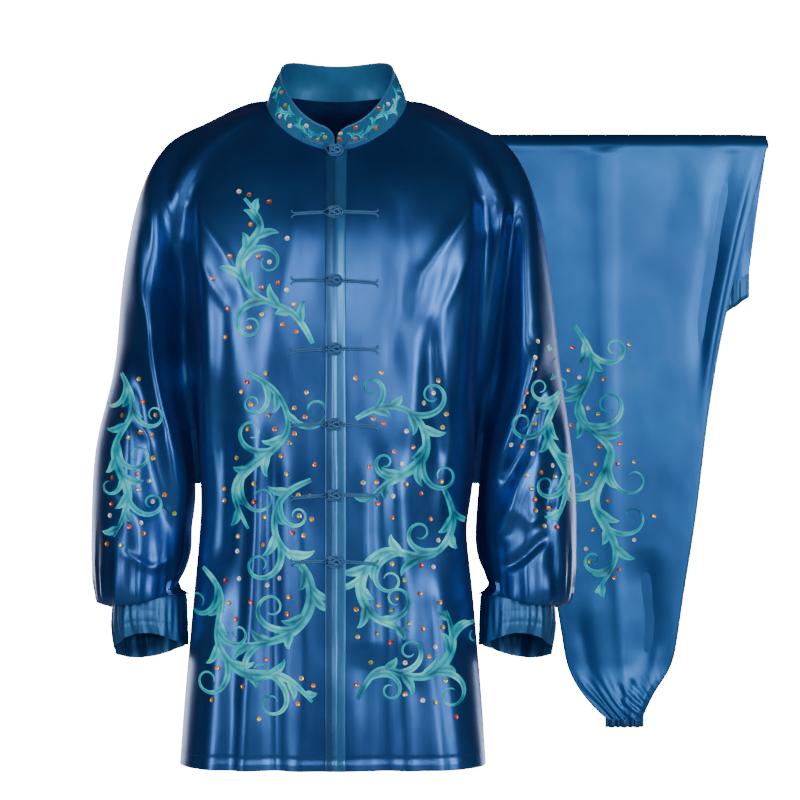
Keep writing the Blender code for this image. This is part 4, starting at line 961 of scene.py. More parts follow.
def button_knot(centre):
    """A button knot: one cord woven over and under itself round a small ball, which is coloured dark as painted
    shade between the strands.
    """
    turn = np.linspace(0, 6 * math.pi, 220, endpoint=False)
    latitude = 0.98 * np.cos(4 * turn / 3)
    lift = 1 + 0.17 * np.sin(8 * turn / 3)
    level = np.cos(latitude)
    around = np.stack([np.sin(latitude), level * np.cos(turn), level * np.sin(turn)], axis=-1)
    inner = np.array(KNOT) - KNOT_INSET
    line = around * inner * lift[:, None] + centre
    cord = round_cord("strand", line, KNOT_CORD, frog_cord, sides=7, closed=True)
    bpy.ops.mesh.primitive_uv_sphere_add(segments=14, ring_count=8, radius=1.0, location=(0, 0, 0))
    core = bpy.context.object
    for vertex in core.data.vertices:
        vertex.co = Vector([(c + v * r * 0.86) * MM for c, v, r in zip(centre, vertex.co, inner)])
    core.data.uv_layers[0].name = "cord"
    core.data.shade_smooth()
    core.data.materials.append(knot_core_painted_shade)
    return [cord, core]


cloth_tree = tree_of([panels["front", 1], panels["front", -1], bands[1], bands[-1]])
for number in range(1, 8):
    low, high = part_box(f"frog_{number}_knot")
    knot_centre = np.array([(a + b) / 2 / MM for a, b in zip(low, high)])
    parts = button_knot(knot_centre)
    for side, is_loop in ((-1, True), (1, False)):
        if number == 1:
            flat_line = strap_line(is_loop, math.radians(COLLAR_FROG_ANGLE) * NECK_HALF_WIDTH)
            line = []
            for along, up in flat_line:
                turned = math.degrees(max(along, 1.6) / NECK_HALF_WIDTH)
                angle = turned if side > 0 else 360 - turned
                shares = (COLLAR_FROG_SHARE, 2 * COLLAR_FROG_SHARE)
                point, above = collar_points(np.array([angle]), shares)[:, 0]
                rise = (above - point) / np.linalg.norm(above - point)
                foot = point + up * rise + outward_from_neck(point) * (FROG_CORD / 2 + 0.5)
                near_knot = float(smooth((15 - along) / 9))
                beside = np.array([side * along, knot_centre[1] + 1.5, knot_centre[2] + up])
                line.append((1 - near_knot) * foot + near_knot * beside)
        else:
            height = FROG_HEIGHTS[number - 2]
            flat_line = strap_line(is_loop, FROG_REACH)
            tilt = FROG_TILTS[number - 2]
            across = side * flat_line[:, 0]
            up = height + flat_line[:, 1] + tilt * across - FROG_SAG * across**2
            depths = []
            for x, z in zip(across, up):
                seen_there = [depth_at(cloth_tree, x + step, z) for step in (-1.2, 0, 1.2)]
                hit = not np.all(np.isnan(seen_there))
                depths.append(np.nanmin(seen_there) if hit else knot_centre[1] + 4)
            lying = eased(np.array(depths), 3) - FROG_CORD / 2 - 0.15
            round_knot = smooth((11.5 - np.abs(across)) / 4) * (1.0 if is_loop else 0.5)
            line = np.stack([across, lying + round_knot * (knot_centre[1] + 1.6 - lying), up], axis=-1)
        parts.append(round_cord("strap", line, FROG_CORD / 2, frog_cord, sides=7))
    frog = joined(f"satin_frog_{number}", parts)
    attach(frog, "root")
    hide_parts(*[f"frog_{number}_{word}" for word in ("loop", "tail", "knot")])

# The trousers: two straight wide legs of the same satin, pressed flat with a crease down the front, laid one
# on the other and folded over the rod. Each leg is a tube, and its foot is drawn in by elastic.
ROD_RADIUS = 9.0
ROD_CENTRE = (345.0, -9.5)
LEG_LAYER, LEG_FOOT_SWELL, LEG_WALL = 5.0, 9.0, 0.7
LEG_OUTLINE = (
    (0, 127, 543), (-72, 146, 525), (-135, 164, 509), (-254, 194, 482), (-372, 222, 463),
    (-486, 248, 449), (-588, 272, 433), (-642, 281, 425), (-679, 290, 414), (-701, 302, 400),
    (-722, 319, 389), (-738, 336, 382),
)
WAIST_LINE = ((127, -266), (300, -276), (430, -256), (521, -200))
WAIST_NARROWING = (40.0, -22.0)
WAISTBAND_HEIGHT, WAISTBAND_GATHERS = 32.0, 20
ANKLE_HEM_HEIGHT, ANKLE_GATHERS = 11.0, 6
FAR_LEG_SHIFT = 2.5
FOOT_GATHER, PRESSED_CREASE = 1.4, 3.2
LEG_WAVES = ((0.8, 60, 120, 5.5), (0.25, 17, 30, 1.5))
FOOT_FOLD_END = -730.0  # a fold that goes on below this keeps most of its depth at the foot
LEG_CREASE = ((335, 6), (338, -254), (344, -459), (353, -590), (361, -715))
LEG_FOLDS = (
    Crease(-1, ((180, -10), (230, -60), (250, -110)), 22, -1.6, 1.3),
    Crease(-1, ((300, 0), (296, -60), (300, -110)), 16, -1.2, 1.0),
    Crease(-1, ((430, 0), (424, -70), (400, -150)), 20, -1.7, 0.8),
    Crease(-1, ((462, -4), (458, -60), (470, -150)), 16, 1.6, 1.0),
    Crease(-1, ((500, -4), (480, -110), (460, -230), (452, -330)), 14, -5.0, 0.6),
    Crease(-1, ((528, -4), (500, -120), (476, -250), (458, -380)), 8, 3.6, 0.7),
    Crease(-1, ((386, -520), (392, -610), (388, -700)), 20, -4.6, 0.8),
    Crease(-1, ((318, -560), (322, -640), (340, -735)), 18, 2.4, 1.2),
    Crease(-1, ((300, -600), (318, -690), (345, -738)), 10, -2.4, 1.0),
    Crease(-1, ((352, -690), (356, -715), (358, -738)), 4, -2.5, 1.0),
    Crease(-1, ((370, -685), (370, -712), (368, -738)), 5, 2.2, 1.0),
    Crease(-1, ((404, -640), (390, -700), (376, -738)), 9, 2.2, 1.0),
    Crease(-1, ((240, -440), (262, -520), (276, -600)), 20, 1.5, 1.0),
)


def leg_edges(height):
    """Left and right edges of a leg at a height down its front."""
    table = np.array(LEG_OUTLINE, float)
    return natural_spline(-table[:, 0], table[:, 1:], [min(-height, -table[-1, 0])])[0]


def leg_points(radius, shift, swell_side, across_steps):
    """Rings of one flattened leg: up its front from the foot, over the rod, and down to the waist."""
    rod_y, rod_z = ROD_CENTRE
    foot = LEG_OUTLINE[-1][0]
    heights = np.concatenate([np.linspace(foot, foot + 60, 26), np.linspace(foot + 64, rod_z, 150)])
    turn, down = np.linspace(0, math.pi, 17)[1:-1], np.linspace(0, 1, 50)
    around = np.linspace(0, 2 * math.pi, 2 * across_steps + 1)
    level = np.sign(np.cos(around)) * np.abs(np.cos(around)) ** 0.8
    bulge = np.sign(np.sin(around)) * np.abs(np.sin(around)) ** 0.45
    bulge[np.abs(np.sin(around)) < 1e-9] = 0
    waist = np.array(WAIST_LINE, float)
    rings = []
    for height in heights:
        left, right = leg_edges(height)
        swell = float(smooth(1 - (height - foot) / 70)) * LEG_FOOT_SWELL / 2
        across = (left + right) / 2 + shift + (right - left) / 2 * level
        wave = np.cos((across - left) * 0.52 + 1.2 * np.sin(across * 0.11))
        gather = swell / LEG_FOOT_SWELL * 2 * FOOT_GATHER * wave
        outward = radius + (LEG_LAYER / 2 + swell) * bulge - swell_side * swell + gather * np.abs(bulge)
        rings.append(np.stack(np.broadcast_arrays(across, rod_y - outward, height), axis=-1))
    left, right = leg_edges(0)
    outward = radius + LEG_LAYER / 2 * bulge
    across = (left + right) / 2 + shift + (right - left) / 2 * level
    for angle in turn:
        y, z = rod_y - outward * math.cos(angle), rod_z + outward * math.sin(angle)
        rings.append(np.stack([across, y, z], axis=-1))
    for share in down:
        left_now, right_now = left + share * WAIST_NARROWING[0], right + share * WAIST_NARROWING[1]
        across = (left_now + right_now) / 2 + shift + (right_now - left_now) / 2 * level
        end = natural_spline(waist[:, 0], waist[:, 1], across) + WAISTBAND_HEIGHT
        gather = 1.5 * share**2 * np.cos(across * 0.33 + 0.8 * np.sin(across * 0.09))
        fold = 2.2 * np.sin(across / 21 + 2.5 * share) * math.sin(math.pi * min(share * 1.2, 1))
        y = rod_y + outward + gather * bulge + fold
        rings.append(np.stack([across, y, rod_z + share * (end - rod_z)], axis=-1))
    return np.array(rings)


def leg_folds(points, radius):
    """Moves the front face of the near leg: its pressed crease and soft folds."""
    in_front = (points[..., 1] < ROD_CENTRE[0] - radius) & (points[..., 2] < ROD_CENTRE[1])
    shift = np.zeros(points.shape[:-1])
    for fold in LEG_FOLDS:
        nearest, hand, share = along_path(points, fold.path)
        width = np.where(hand > 0, fold.width * fold.lean, fold.width)
        kept = 0.6 if fold.path[-1][1] < FOOT_FOLD_END else 0
        ends = smooth(share / 0.3 + 0.15) * smooth((1 - share) / 0.3 + kept)
        shift += fold.depth * np.exp(-((nearest / width) ** 1.7)) * ends
    nearest, hand, share = along_path(points, LEG_CREASE)
    shift += PRESSED_CREASE * np.exp(-nearest / np.where(hand > 0, 7.0, 12.0))
    shift += wobble(points, 1, LEG_WAVES)
    left, right = points[..., 0].min(axis=1, keepdims=True), points[..., 0].max(axis=1, keepdims=True)
    inset = np.minimum(points[..., 0] - left, right - points[..., 0])
    points[..., 1] -= np.where(in_front, shift * smooth(inset / 12), 0)


far_radius = ROD_RADIUS + 2 * SEAM_HALF_GAP + LEG_LAYER / 2
near_radius = far_radius + LEG_LAYER + 2 * SEAM_HALF_GAP
leg_satin = satin_material("trouser_satin", ("#20579a", "#2662a8", "#2d6fb6"), roughness=0.40, metallic=0.68)
legs = {}
LEG_SIDES = (("near", near_radius, 0.0, -1, 84), ("far", far_radius, FAR_LEG_SHIFT, 1, 40))
for word, radius, shift, way, steps in LEG_SIDES:
    surface = leg_points(radius, shift, way, steps)
    if word == "near":
        leg_folds(surface, radius)
    middle = (330, ROD_CENTRE[0] - radius, -300)
    leg = cloth_object(f"satin_leg_{word}", surface, middle, closed=True, wall=LEG_WALL)
    leg.data.materials.append(leg_satin)
    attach(leg, "root")
    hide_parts(f"trouser_leg_{word}")
    legs[word] = leg

# Waistband and ankle hems: the satin turned over elastic and drawn into fine gathers, each flattened double
# as the trousers hang.
STRIP_WALL = 0.8


def gathered_strip(name, centre_line, half_depths, height, gathers, steps):
    """A flattened ring of gathered cloth, closed at its lower edge: centre_line gives points along the top
    edge, and half_depths half its thickness from the top down."""
    line = np.array(centre_line, float)
    share = np.linspace(0, 1, steps + 1)
    top = natural_spline(range(len(line)), line, share * (len(line) - 1))
    wave = np.cos(2 * math.pi * gathers * share + 0.9 * np.sin(2 * math.pi * 3 * share))
    fine = 0.4 * np.cos(2 * math.pi * gathers * 2.7 * share + 1)
    taper = np.sqrt(np.clip(1 - (2 * share - 1) ** 2, 0.02, 1)) ** 0.5
    rings = []
    for down, half in zip(np.linspace(0, 1, len(half_depths)), half_depths):
        ripple = (0.9 + 0.5 * math.sin(math.pi * down)) * wave + fine
        thick = (half + ripple) * taper
        level = 0 * share
        edge = top + np.stack([level, level, -height * down - 0.5 * wave * down], axis=-1)
        deep = np.stack([level, thick, level], axis=-1)
        front, back = edge - deep, (edge + deep)[::-1]
        rings.append(np.concatenate([front, back, front[:1]]))
    middle = np.mean([ring.mean(axis=0) for ring in rings], axis=0)
    strip = cloth_object(name, np.array(rings), middle, closed=True, wall=STRIP_WALL)
    strip.data.materials.append(cuff_satin)
    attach(strip, "root")
    return strip


def rounded(full, rings):
    """Half depths of a strip that closes softly at its lower edge and meets the cloth at its upper one."""
    down = np.linspace(0, 1, rings)
    return full * (1 - 0.5 * np.clip((down - 0.75) / 0.25, 0, 1) ** 2 - 0.1 * (1 - np.clip(down / 0.2, 0, 1)))


foot, left, right = LEG_OUTLINE[-1]
half = (LEG_LAYER + LEG_FOOT_SWELL) / 2 - 0.6
for word, radius, shift, way, _ in LEG_SIDES:
    y = ROD_CENTRE[0] - radius + way * LEG_FOOT_SWELL / 2
    line = [(x + shift, y, foot + 1.5) for x in np.linspace(left - 1, right + 1, 4)]
    depths, height = rounded(half, 12), ANKLE_HEM_HEIGHT + 1.5
    hem = gathered_strip(f"elastic_ankle_{word}", line, depths, height, ANKLE_GATHERS, 90)
    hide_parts(f"ankle_hem_{word}")
waist = np.array(WAIST_LINE, float)
left, right = leg_edges(0)
across = np.linspace(left + WAIST_NARROWING[0] - 1, right + WAIST_NARROWING[1] + 2.5, 13)
heights = natural_spline(waist[:, 0], waist[:, 1], across) + WAISTBAND_HEIGHT + 2
line = [(x, ROD_CENTRE[0] + (near_radius + far_radius) / 2, z) for x, z in zip(across, heights)]
depths, height = rounded(8.0, 16), WAISTBAND_HEIGHT + 2
waistband = gathered_strip("elastic_waistband", line, depths, height, WAISTBAND_GATHERS, 260)
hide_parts("waistband")

# The plain rod keeps its own shape, and gets the look of steel tube brushed along its length: fine lines run
# along it and catch the light in one narrow streak.
brushed, tree, shader = new_material("brushed_steel_tube")
place = add_node(tree, "TexCoord")
along = add_node(tree, "Mapping", inputs={"Vector": place.outputs["Object"], "Scale": (6.0, 1400.0, 1400.0)})
grain = add_node(tree, "TexNoise", inputs={"Vector": along.outputs["Vector"], "Scale": 1.0, "Detail": 2.0})
rough = add_node(tree, "MapRange", inputs={"Value": grain.outputs[0], "To Min": 0.26, "To Max": 0.42})
set_inputs(shader, {
    "Base Color": ramp(tree, grain.outputs[0], ((0.3, "#a9aaa8"), (0.7, "#cfd0cd"))),
    "Roughness": rough.outputs["Result"], "Metallic": 1.0,
})
rod = bpy.data.objects["rod"]
for rod_slot in rod.material_slots:
    rod_slot.material = brushed

# The embroidery: scrolling vines worked in rayon satin stitch over a padding thread, turquoise, each stroke painted
# darker down its middle than along its edges as painted shade and painted highlight. Every stroke is a low crowned
# ribbon of thread that lies on the cloth and follows its folds.
STITCH_STEP = 1.3
STITCH_ACROSS = np.array([-0.5, -0.3, 0.0, 0.3, 0.5])
STITCH_HEIGHTS = np.array([0.12, 0.62, 0.85, 0.62, 0.12])
STITCH_WALL = 0.3
STEEPEST = (2.2, 5.0)  # how far the cloth may fall away across a stroke: by its half width, and beyond
FURTHEST = 6.0  # a ribbon breaks off where the cloth under it jumps this far
LEAF_CURL = 130  # a branch that curls less is a leaf
DEEPEST = 60.0  # a place on the jacket's front that lies deeper than this is its back, seen past an edge
# A stem runs through its path. Its branches leave at a share of it, to the left (1) or right (-1), and curl
# through so many degrees on their way. A leaf is a branch that is short and broad.
Stem = namedtuple("Stem", "path width branches")
Branch = namedtuple("Branch", "share hand length curl width")


def branch_line(start, heading, branch):
    """A branch's line: it leaves its stem at a slant and curls ever more tightly."""
    share = np.linspace(0, 1, max(8, int(branch.length / STITCH_STEP)))
    turned = heading + branch.hand * np.radians(24 + branch.curl * (0.30 * share + 0.70 * share**2.4))
    steps = np.stack([np.cos(turned), np.sin(turned)], axis=-1) * branch.length / (len(share) - 1)
    return start + np.concatenate([[(0, 0)], np.cumsum(steps[:-1], axis=0)])


def stem_strokes(stem):
    """All the strokes of a stem, as pairs of a line and its half widths."""
    control = np.array(stem.path, float)
    stations = travelled(control)
    line = natural_spline(stations, control, np.arange(0, stations[-1], STITCH_STEP))
    share = np.linspace(0, 1, len(line))
    swell = np.sin(math.pi * np.clip(0.06 + 0.86 * share, 0, 1)) ** 0.6 * (0.8 + 0.2 * np.cos(9 * share))
    strokes = [(line, stem.width / 2 * swell)]
    for branch in stem.branches:
        i = int(branch.share * (len(line) - 2))
        way = line[i + 1] - line[i]
        curl = branch_line(line[i], math.atan2(way[1], way[0]), branch)
        along = np.linspace(0, 1, len(curl))
        if branch.curl < LEAF_CURL:
            shape = np.sin(math.pi * along**0.75) ** 0.85 + 0.04
        else:
            shape = 0.22 + 0.78 * np.exp(-((along - 0.12) / 0.42) ** 2)
            shape = shape * np.minimum(1, 8 * (1 - along) + 0.3)
        strokes.append((curl, branch.width / 2 * shape))
    return strokes


def stitched(name, strokes, lie):
    """Embroidery along strokes. lie(a, b, height) gives the place on the cloth at a and b, height above it,
    or none where there is no cloth."""
    points, quads, places = [], [], []
    for line, half_widths in strokes:
        way = np.gradient(line, axis=0)
        way /= np.linalg.norm(way, axis=1, keepdims=True)
        out = np.stack([-way[:, 1], way[:, 0]], axis=-1)
        length = travelled(line)
        before = None
        for i, (spot, half) in enumerate(zip(line, half_widths)):
            ring = [
                lie(*(spot + out[i] * share * 2 * half), height * min(1.0, 0.45 + half / 3.0))
                for share, height in zip(STITCH_ACROSS, STITCH_HEIGHTS)
            ]
            deep = [spot_on_cloth[1] for spot_on_cloth in ring if spot_on_cloth]
            if len(deep) < len(ring) or max(deep) - min(deep) > STEEPEST[0] * half + STEEPEST[1]:
                before = None
                continue
            base = len(points)
            points += ring
            if before is not None and np.linalg.norm(np.array(points[base + 2]) - points[before + 2]) < FURTHEST:
                for k in range(len(ring) - 1):
                    quads.append((before + k, before + k + 1, base + k + 1, base + k))
                    ends = length[i - 1] * MM, length[i] * MM
                    sides = STITCH_ACROSS[k] + 0.5, STITCH_ACROSS[k + 1] + 0.5
                    places += [(ends[0], s) for s in sides] + [(ends[1], s) for s in sides[::-1]]
            before = base
    obj = mesh_object(name, points, quads, "stitch", places)
    thicken(obj, STITCH_WALL)
    obj.data.materials.append(rayon_stitch)
    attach(obj, "root")
    return obj


# rayon embroidery thread in satin stitch: strands 0.4 mm apart lie slantwise across each stroke and shine along
# their length. They are drawn 0.8 mm apart, and the dye shades from teal to mint along the stroke. A darker copy of
# the dye is painted down the middle of each stroke as shade, so its edges read as a painted highlight, and the
# thread glows faintly in its dye colour, a painted light.
STRAND_SPACING = 0.0008
rayon_stitch, tree, shader = new_material("rayon_satin_stitch_painted_light")
laid = add_node(tree, "UVMap", {"uv_map": "stitch"})
way = add_node(tree, "SeparateXYZ", inputs={"Vector": laid.outputs["UV"]})
place = add_node(tree, "TexCoord")
shading = add_node(tree, "TexNoise", inputs={"Vector": place.outputs["Object"], "Scale": 42.0, "Detail": 1.5})
dye_and_glow_colour = ramp(tree, shading.outputs[0], (
    (0.32, "#007c98"), (0.44, "#00b8cc"), (0.55, "#00d4e0"), (0.66, "#74f6f2"),
))
# a darker copy of the dye colours, used as painted shade
painted_shade_dye = ramp(tree, shading.outputs[0], ((0.36, "#003e5e"), (0.50, "#007f9c"), (0.66, "#00c0d0")))
# across the stroke: the middle takes the darker copy as painted shade, and the edges keep the lighter dye as a
# painted highlight
inner = ramp(tree, way.outputs["Y"], (
    (0.0, "#ffffff"), (0.30, "#ffffff"), (0.42, "#202020"), (0.55, "#000000"), (0.66, "#c0c0c0"), (1.0, "#ffffff"),
))
dye_with_painted_shade = add_node(tree, "Mix", {"data_type": "RGBA"}, {0: inner, 6: painted_shade_dye, 7: dye_and_glow_colour})
slanted = add_node(tree, "Math", {"operation": "MULTIPLY_ADD"}, {
    0: way.outputs["X"], 1: 1 / STRAND_SPACING, 2: way.outputs["Y"],
})
phase = add_node(tree, "Math", {"operation": "MULTIPLY"}, {0: slanted.outputs[0], 1: 2 * math.pi})
strand = add_node(tree, "Math", {"operation": "SINE"}, {0: phase.outputs[0]})
raised = add_node(tree, "Bump", inputs={"Height": strand.outputs[0], "Strength": 0.35, "Distance": 0.0003})
# the emission makes the thread glow faintly in its dye colour: painted light
set_inputs(shader, {
    "Base Color": dye_with_painted_shade.outputs[2], "Normal": raised.outputs["Normal"], "Roughness": 0.42, "Sheen Weight": 0.1,
    "Emission Color": dye_and_glow_colour, "Emission Strength": 0.14,
})


def leaves(first, last, count, length, width, curl=70):
    """Leaves set by turns on both sides of a stem."""
    found = []
    for i, share in enumerate(np.linspace(first, last, count)):
        size = 1 - 0.3 * abs(2 * share - 1) - 0.25 * (i % 3 == 1)
        found.append(Branch(share, 1 if i % 2 else -1, 1.25 * length * size, curl, 1.15 * width))
    return found


RIGHT_FRONT_STEMS = (
    Stem(
        ((-24, -268), (-50, -232), (-88, -214), (-104, -172), (-84, -138), (-102, -104)), 12.0,
        [*leaves(0.12, 0.92, 11, 27, 8.0, 62), Branch(0.36, 1, 103, 420, 8.0), Branch(0.62, -1, 90, 380, 7.2)],
    ),
    Stem(
        ((-98, -300), (-66, -322), (-52, -362), (-84, -398), (-112, -430), (-96, -476)), 11.0,
        [
            Branch(0.10, -1, 87, 420, 6.5), Branch(0.30, 1, 108, 460, 7.2), Branch(0.52, -1, 96, 400, 7.2),
            Branch(0.70, 1, 101, 380, 6.5), *leaves(0.18, 0.9, 7, 24, 7.5),
        ],
    ),
    Stem(
        ((-26, -420), (-58, -440), (-64, -486), (-34, -520), (-28, -562), (-62, -598), (-112, -604)), 13.0,
        [
            Branch(0.16, 1, 78, 400, 6.5), Branch(0.34, -1, 108, 430, 8.0), Branch(0.55, 1, 92, 420, 7.2),
            Branch(0.74, -1, 116, 430, 8.0), Branch(0.9, 1, 94, 400, 7.2), *leaves(0.1, 0.95, 10, 28, 8.5),
        ],
    ),
    Stem(
        ((-150, -520), (-128, -552), (-132, -596), (-104, -634), (-58, -640), (-24, -668)), 11.5,
        [
            Branch(0.12, -1, 94, 420, 7.2), Branch(0.34, 1, 78, 420, 6.5), Branch(0.5, -1, 99, 400, 7.2),
            Branch(0.74, -1, 103, 420, 7.2), *leaves(0.2, 0.95, 8, 25, 7.5),
        ],
    ),
)
LEFT_FRONT_STEMS = (
    Stem(
        ((24, -352), (58, -338), (92, -352), (100, -392), (66, -420), (34, -446)), 12.0,
        [
            Branch(0.12, 1, 74, 400, 6.5), Branch(0.34, 1, 103, 440, 7.2), Branch(0.60, 1, 99, 400, 7.2),
            Branch(0.78, -1, 69, 400, 6.5), *leaves(0.1, 0.95, 9, 26, 8.0),
        ],
    ),
    Stem(
        ((122, -430), (132, -474), (104, -506), (60, -500), (30, -530), (44, -572), (84, -588)), 13.0,
        [
            Branch(0.10, 1, 81, 400, 6.5), Branch(0.28, -1, 94, 420, 7.2), Branch(0.46, 1, 108, 430, 8.0),
            Branch(0.66, -1, 99, 420, 7.2), Branch(0.86, 1, 96, 400, 7.2), *leaves(0.12, 0.95, 11, 28, 8.5),
        ],
    ),
    Stem(
        ((26, -664), (52, -632), (96, -640), (130, -612), (124, -566)), 12.0,
        [
            Branch(0.14, -1, 85, 420, 6.5), Branch(0.36, 1, 87, 420, 7.2), Branch(0.58, -1, 103, 410, 7.2),
            Branch(0.82, -1, 83, 400, 6.5), *leaves(0.15, 0.95, 8, 26, 8.0),
        ],
    ),
)
RIGHT_SLEEVE_STEMS = (
    Stem(
        ((-246, -300), (-232, -344), (-252, -388), (-236, -432), (-252, -486)), 11.5,
        [
            Branch(0.06, -1, 69, 330, 7.2), Branch(0.22, 1, 83, 420, 5.8), Branch(0.46, 1, 94, 430, 6.5),
            Branch(0.64, -1, 52, 300, 6.5), Branch(0.78, 1, 85, 420, 6.5), *leaves(0.1, 0.95, 9, 24, 7.5),
        ],
    ),
)
LEFT_SLEEVE_STEMS = (
    Stem(
        ((242, -268), (258, -318), (240, -366), (262, -410), (250, -470)), 11.5,
        [
            Branch(0.08, 1, 67, 330, 7.2), Branch(0.26, -1, 81, 420, 5.8), Branch(0.46, -1, 94, 430, 6.5),
            Branch(0.66, 1, 52, 300, 6.5), Branch(0.8, -1, 81, 420, 6.5), *leaves(0.1, 0.95, 9, 24, 7.5),
        ],
    ),
)
LEG_STEMS = (
    Stem(
        ((296, -236), (318, -292), (300, -350), (342, -396), (322, -456), (348, -520), (322, -578)), 13.0,
        [
            Branch(0.10, 1, 101, 420, 7.2), Branch(0.24, -1, 94, 400, 7.2), Branch(0.36, 1, 130, 430, 8.0),
            Branch(0.54, 1, 103, 330, 6.5), Branch(0.62, -1, 96, 400, 7.2), Branch(0.76, 1, 94, 300, 6.5),
            Branch(0.9, -1, 81, 400, 6.5), *leaves(0.06, 0.97, 14, 32, 9.0, 58),
        ],
    ),
)


def lie_on(tree, deepest):
    """Places for embroidery on what the tree holds, seen from the front, down to the depth deepest."""

    def lie(x, z, height):
        deep = depth_at(tree, x, z)
        return None if math.isnan(deep) or deep > deepest else (x, deep - height - 0.05, z)

    return lie


def lie_on_collar(along, up, height):
    """A place on the collar, at a distance round it from the centre front and up it from the neck seam."""
    angle = math.degrees(abs(along) / NECK_HALF_WIDTH)
    angle = angle if along > 0 else 360 - angle
    place = collar_points(np.array([angle]), (up / 39.0,))[0]
    return tuple((place + outward_from_neck(place) * (height + 0.2))[0])


lie_right, lie_left = (lie_on(tree_of([panels["front", side]]), DEEPEST) for side in (-1, 1))
COLLAR_WAVE = [(along, 21 + 6.5 * math.sin(along / 7.6)) for along in range(14, 118, 6)]
COLLAR_STEMS = {
    side: Stem(
        [(side * along, up) for along, up in COLLAR_WAVE], 4.2,
        [
            Branch(share, side * (1 if i % 2 else -1), 13.5, 105, 4.4)
            for i, share in enumerate(np.linspace(0.04, 0.93, 15))
        ],
    )
    for side in (-1, 1)
}
design = {
    "embroidery_front_right": (RIGHT_FRONT_STEMS, lie_right),
    "embroidery_front_left": (LEFT_FRONT_STEMS, lie_left),
    "embroidery_sleeve_right": (RIGHT_SLEEVE_STEMS, lie_right),
    "embroidery_sleeve_left": (LEFT_SLEEVE_STEMS, lie_left),
    "embroidery_leg": (LEG_STEMS, lie_on(tree_of([legs["near"]]), math.inf)),
    "embroidery_collar_right": ((COLLAR_STEMS[-1],), lie_on_collar),
    "embroidery_collar_left": ((COLLAR_STEMS[1],), lie_on_collar),
}
worked = {}
for name, (stems, lie) in design.items():
    strokes = [stroke for stem in stems for stroke in stem_strokes(stem)]
    worked[name] = (strokes, lie, stitched(name, strokes, lie))

# Sequins: cupped polyester discs 5.6 mm across with a hole in the middle, metallised orange, gold, copper,
# red and green, or left pearl white. Each is sewn on through its hole, scattered round the vines.
SEQUIN_RADIUS, SEQUIN_HOLE, SEQUIN_SIDES = 2.8, 0.55, 10
SEQUIN_SPACING, SEQUIN_CLEAR = 12.0, 4.6
Sequin = namedtuple("Sequin", "name colours share metallic")
SEQUINS = (
    Sequin("orange", ("#ee7a26", "#ffb650"), 0.24, 0.45),
    Sequin("gold", ("#d9a83a", "#ffe08a"), 0.28, 0.5),
    Sequin("copper", ("#cf5f3c", "#f5a878"), 0.14, 0.5),
    Sequin("red", ("#d63a20", "#ff7a48"), 0.08, 0.4),
    Sequin("green", ("#7a9440", "#d4e07c"), 0.10, 0.45),
    Sequin("pearl", ("#f3dcc4", "#ffffff"), 0.16, 0.15),
)
SEQUIN_COUNTS = {
    "embroidery_front_right": 66, "embroidery_front_left": 50, "embroidery_sleeve_right": 22,
    "embroidery_sleeve_left": 20, "embroidery_leg": 28, "embroidery_collar_right": 7, "embroidery_collar_left": 7,
}
draw = np.random.default_rng(20)
SEQUIN_RINGS = (  # radius and height above the cloth, over the cup and back under it
    (SEQUIN_HOLE, 0.30), (1.5, 0.42), (2.35, 0.62), (SEQUIN_RADIUS, 0.92),
    (SEQUIN_RADIUS, 0.80), (SEQUIN_HOLE, 0.12),
)
SEQUIN_PROBE, SEQUIN_STEEPEST, MOST_TRIES = 1.6, 3.0, 4000
discs = {sequin.name: ([], []) for sequin in SEQUINS}
names, shares = [s.name for s in SEQUINS], np.array([s.share for s in SEQUINS])
for name, (strokes, lie, _) in worked.items():
    laid_points = np.concatenate([line for line, _ in strokes])
    half = np.concatenate([width for _, width in strokes])
    chosen, tries = [], 0
    on_collar = "collar" in name
    while len(chosen) < SEQUIN_COUNTS[name] and tries < MOST_TRIES:
        tries += 1
        near = laid_points[draw.integers(len(laid_points))]
        turn, away = draw.uniform(0, 2 * math.pi), draw.uniform(6, 22 if not on_collar else 14)
        spot = near + away * np.array([math.cos(turn), math.sin(turn)])
        colour = names[int(draw.choice(len(names), p=shares / shares.sum()))]
        if on_collar and not 8 < spot[1] < 34:
            continue
        if not on_collar and abs(spot[0]) < 20:
            continue
        if (np.linalg.norm(laid_points - spot, axis=1) - half).min() < SEQUIN_CLEAR - 1.2 * on_collar:
            continue
        if chosen and np.linalg.norm(np.array(chosen) - spot, axis=1).min() < SEQUIN_SPACING:
            continue
        middle, right, up, left, down = (
            lie(*(spot + SEQUIN_PROBE * np.array(step)), 0.0) for step in ((0, 0), (1, 0), (0, 1), (-1, 0), (0, -1))
        )
        if any(p is None for p in (middle, right, up, left, down)):
            continue
        across, along = np.subtract(right, left), np.subtract(up, down)
        if max(abs(across[1]), abs(along[1])) > SEQUIN_STEEPEST:
            continue
        across /= np.linalg.norm(across)
        normal = np.cross(across, along)
        normal /= np.linalg.norm(normal)
        if normal[1] > 0.2:
            normal, across = -normal, -across
        across = across + normal * draw.uniform(-0.16, 0.16)
        across /= np.linalg.norm(across)
        along = np.cross(normal, across)
        chosen.append(spot)
        points, quads = discs[colour]
        base = len(points)
        angle = 2 * math.pi * np.arange(SEQUIN_SIDES) / SEQUIN_SIDES + draw.uniform(0, 1)
        way = np.cos(angle)[:, None] * across + np.sin(angle)[:, None] * along
        for radius, lift in SEQUIN_RINGS:
            points += (np.array(middle) + radius * way + (lift + 0.1) * normal).tolist()
        for r in range(len(SEQUIN_RINGS)):
            a, b = (base + lap % len(SEQUIN_RINGS) * SEQUIN_SIDES for lap in (r, r + 1))
            for k in range(SEQUIN_SIDES):
                m = (k + 1) % SEQUIN_SIDES
                quads.append((a + k, b + k, b + m, a + m))
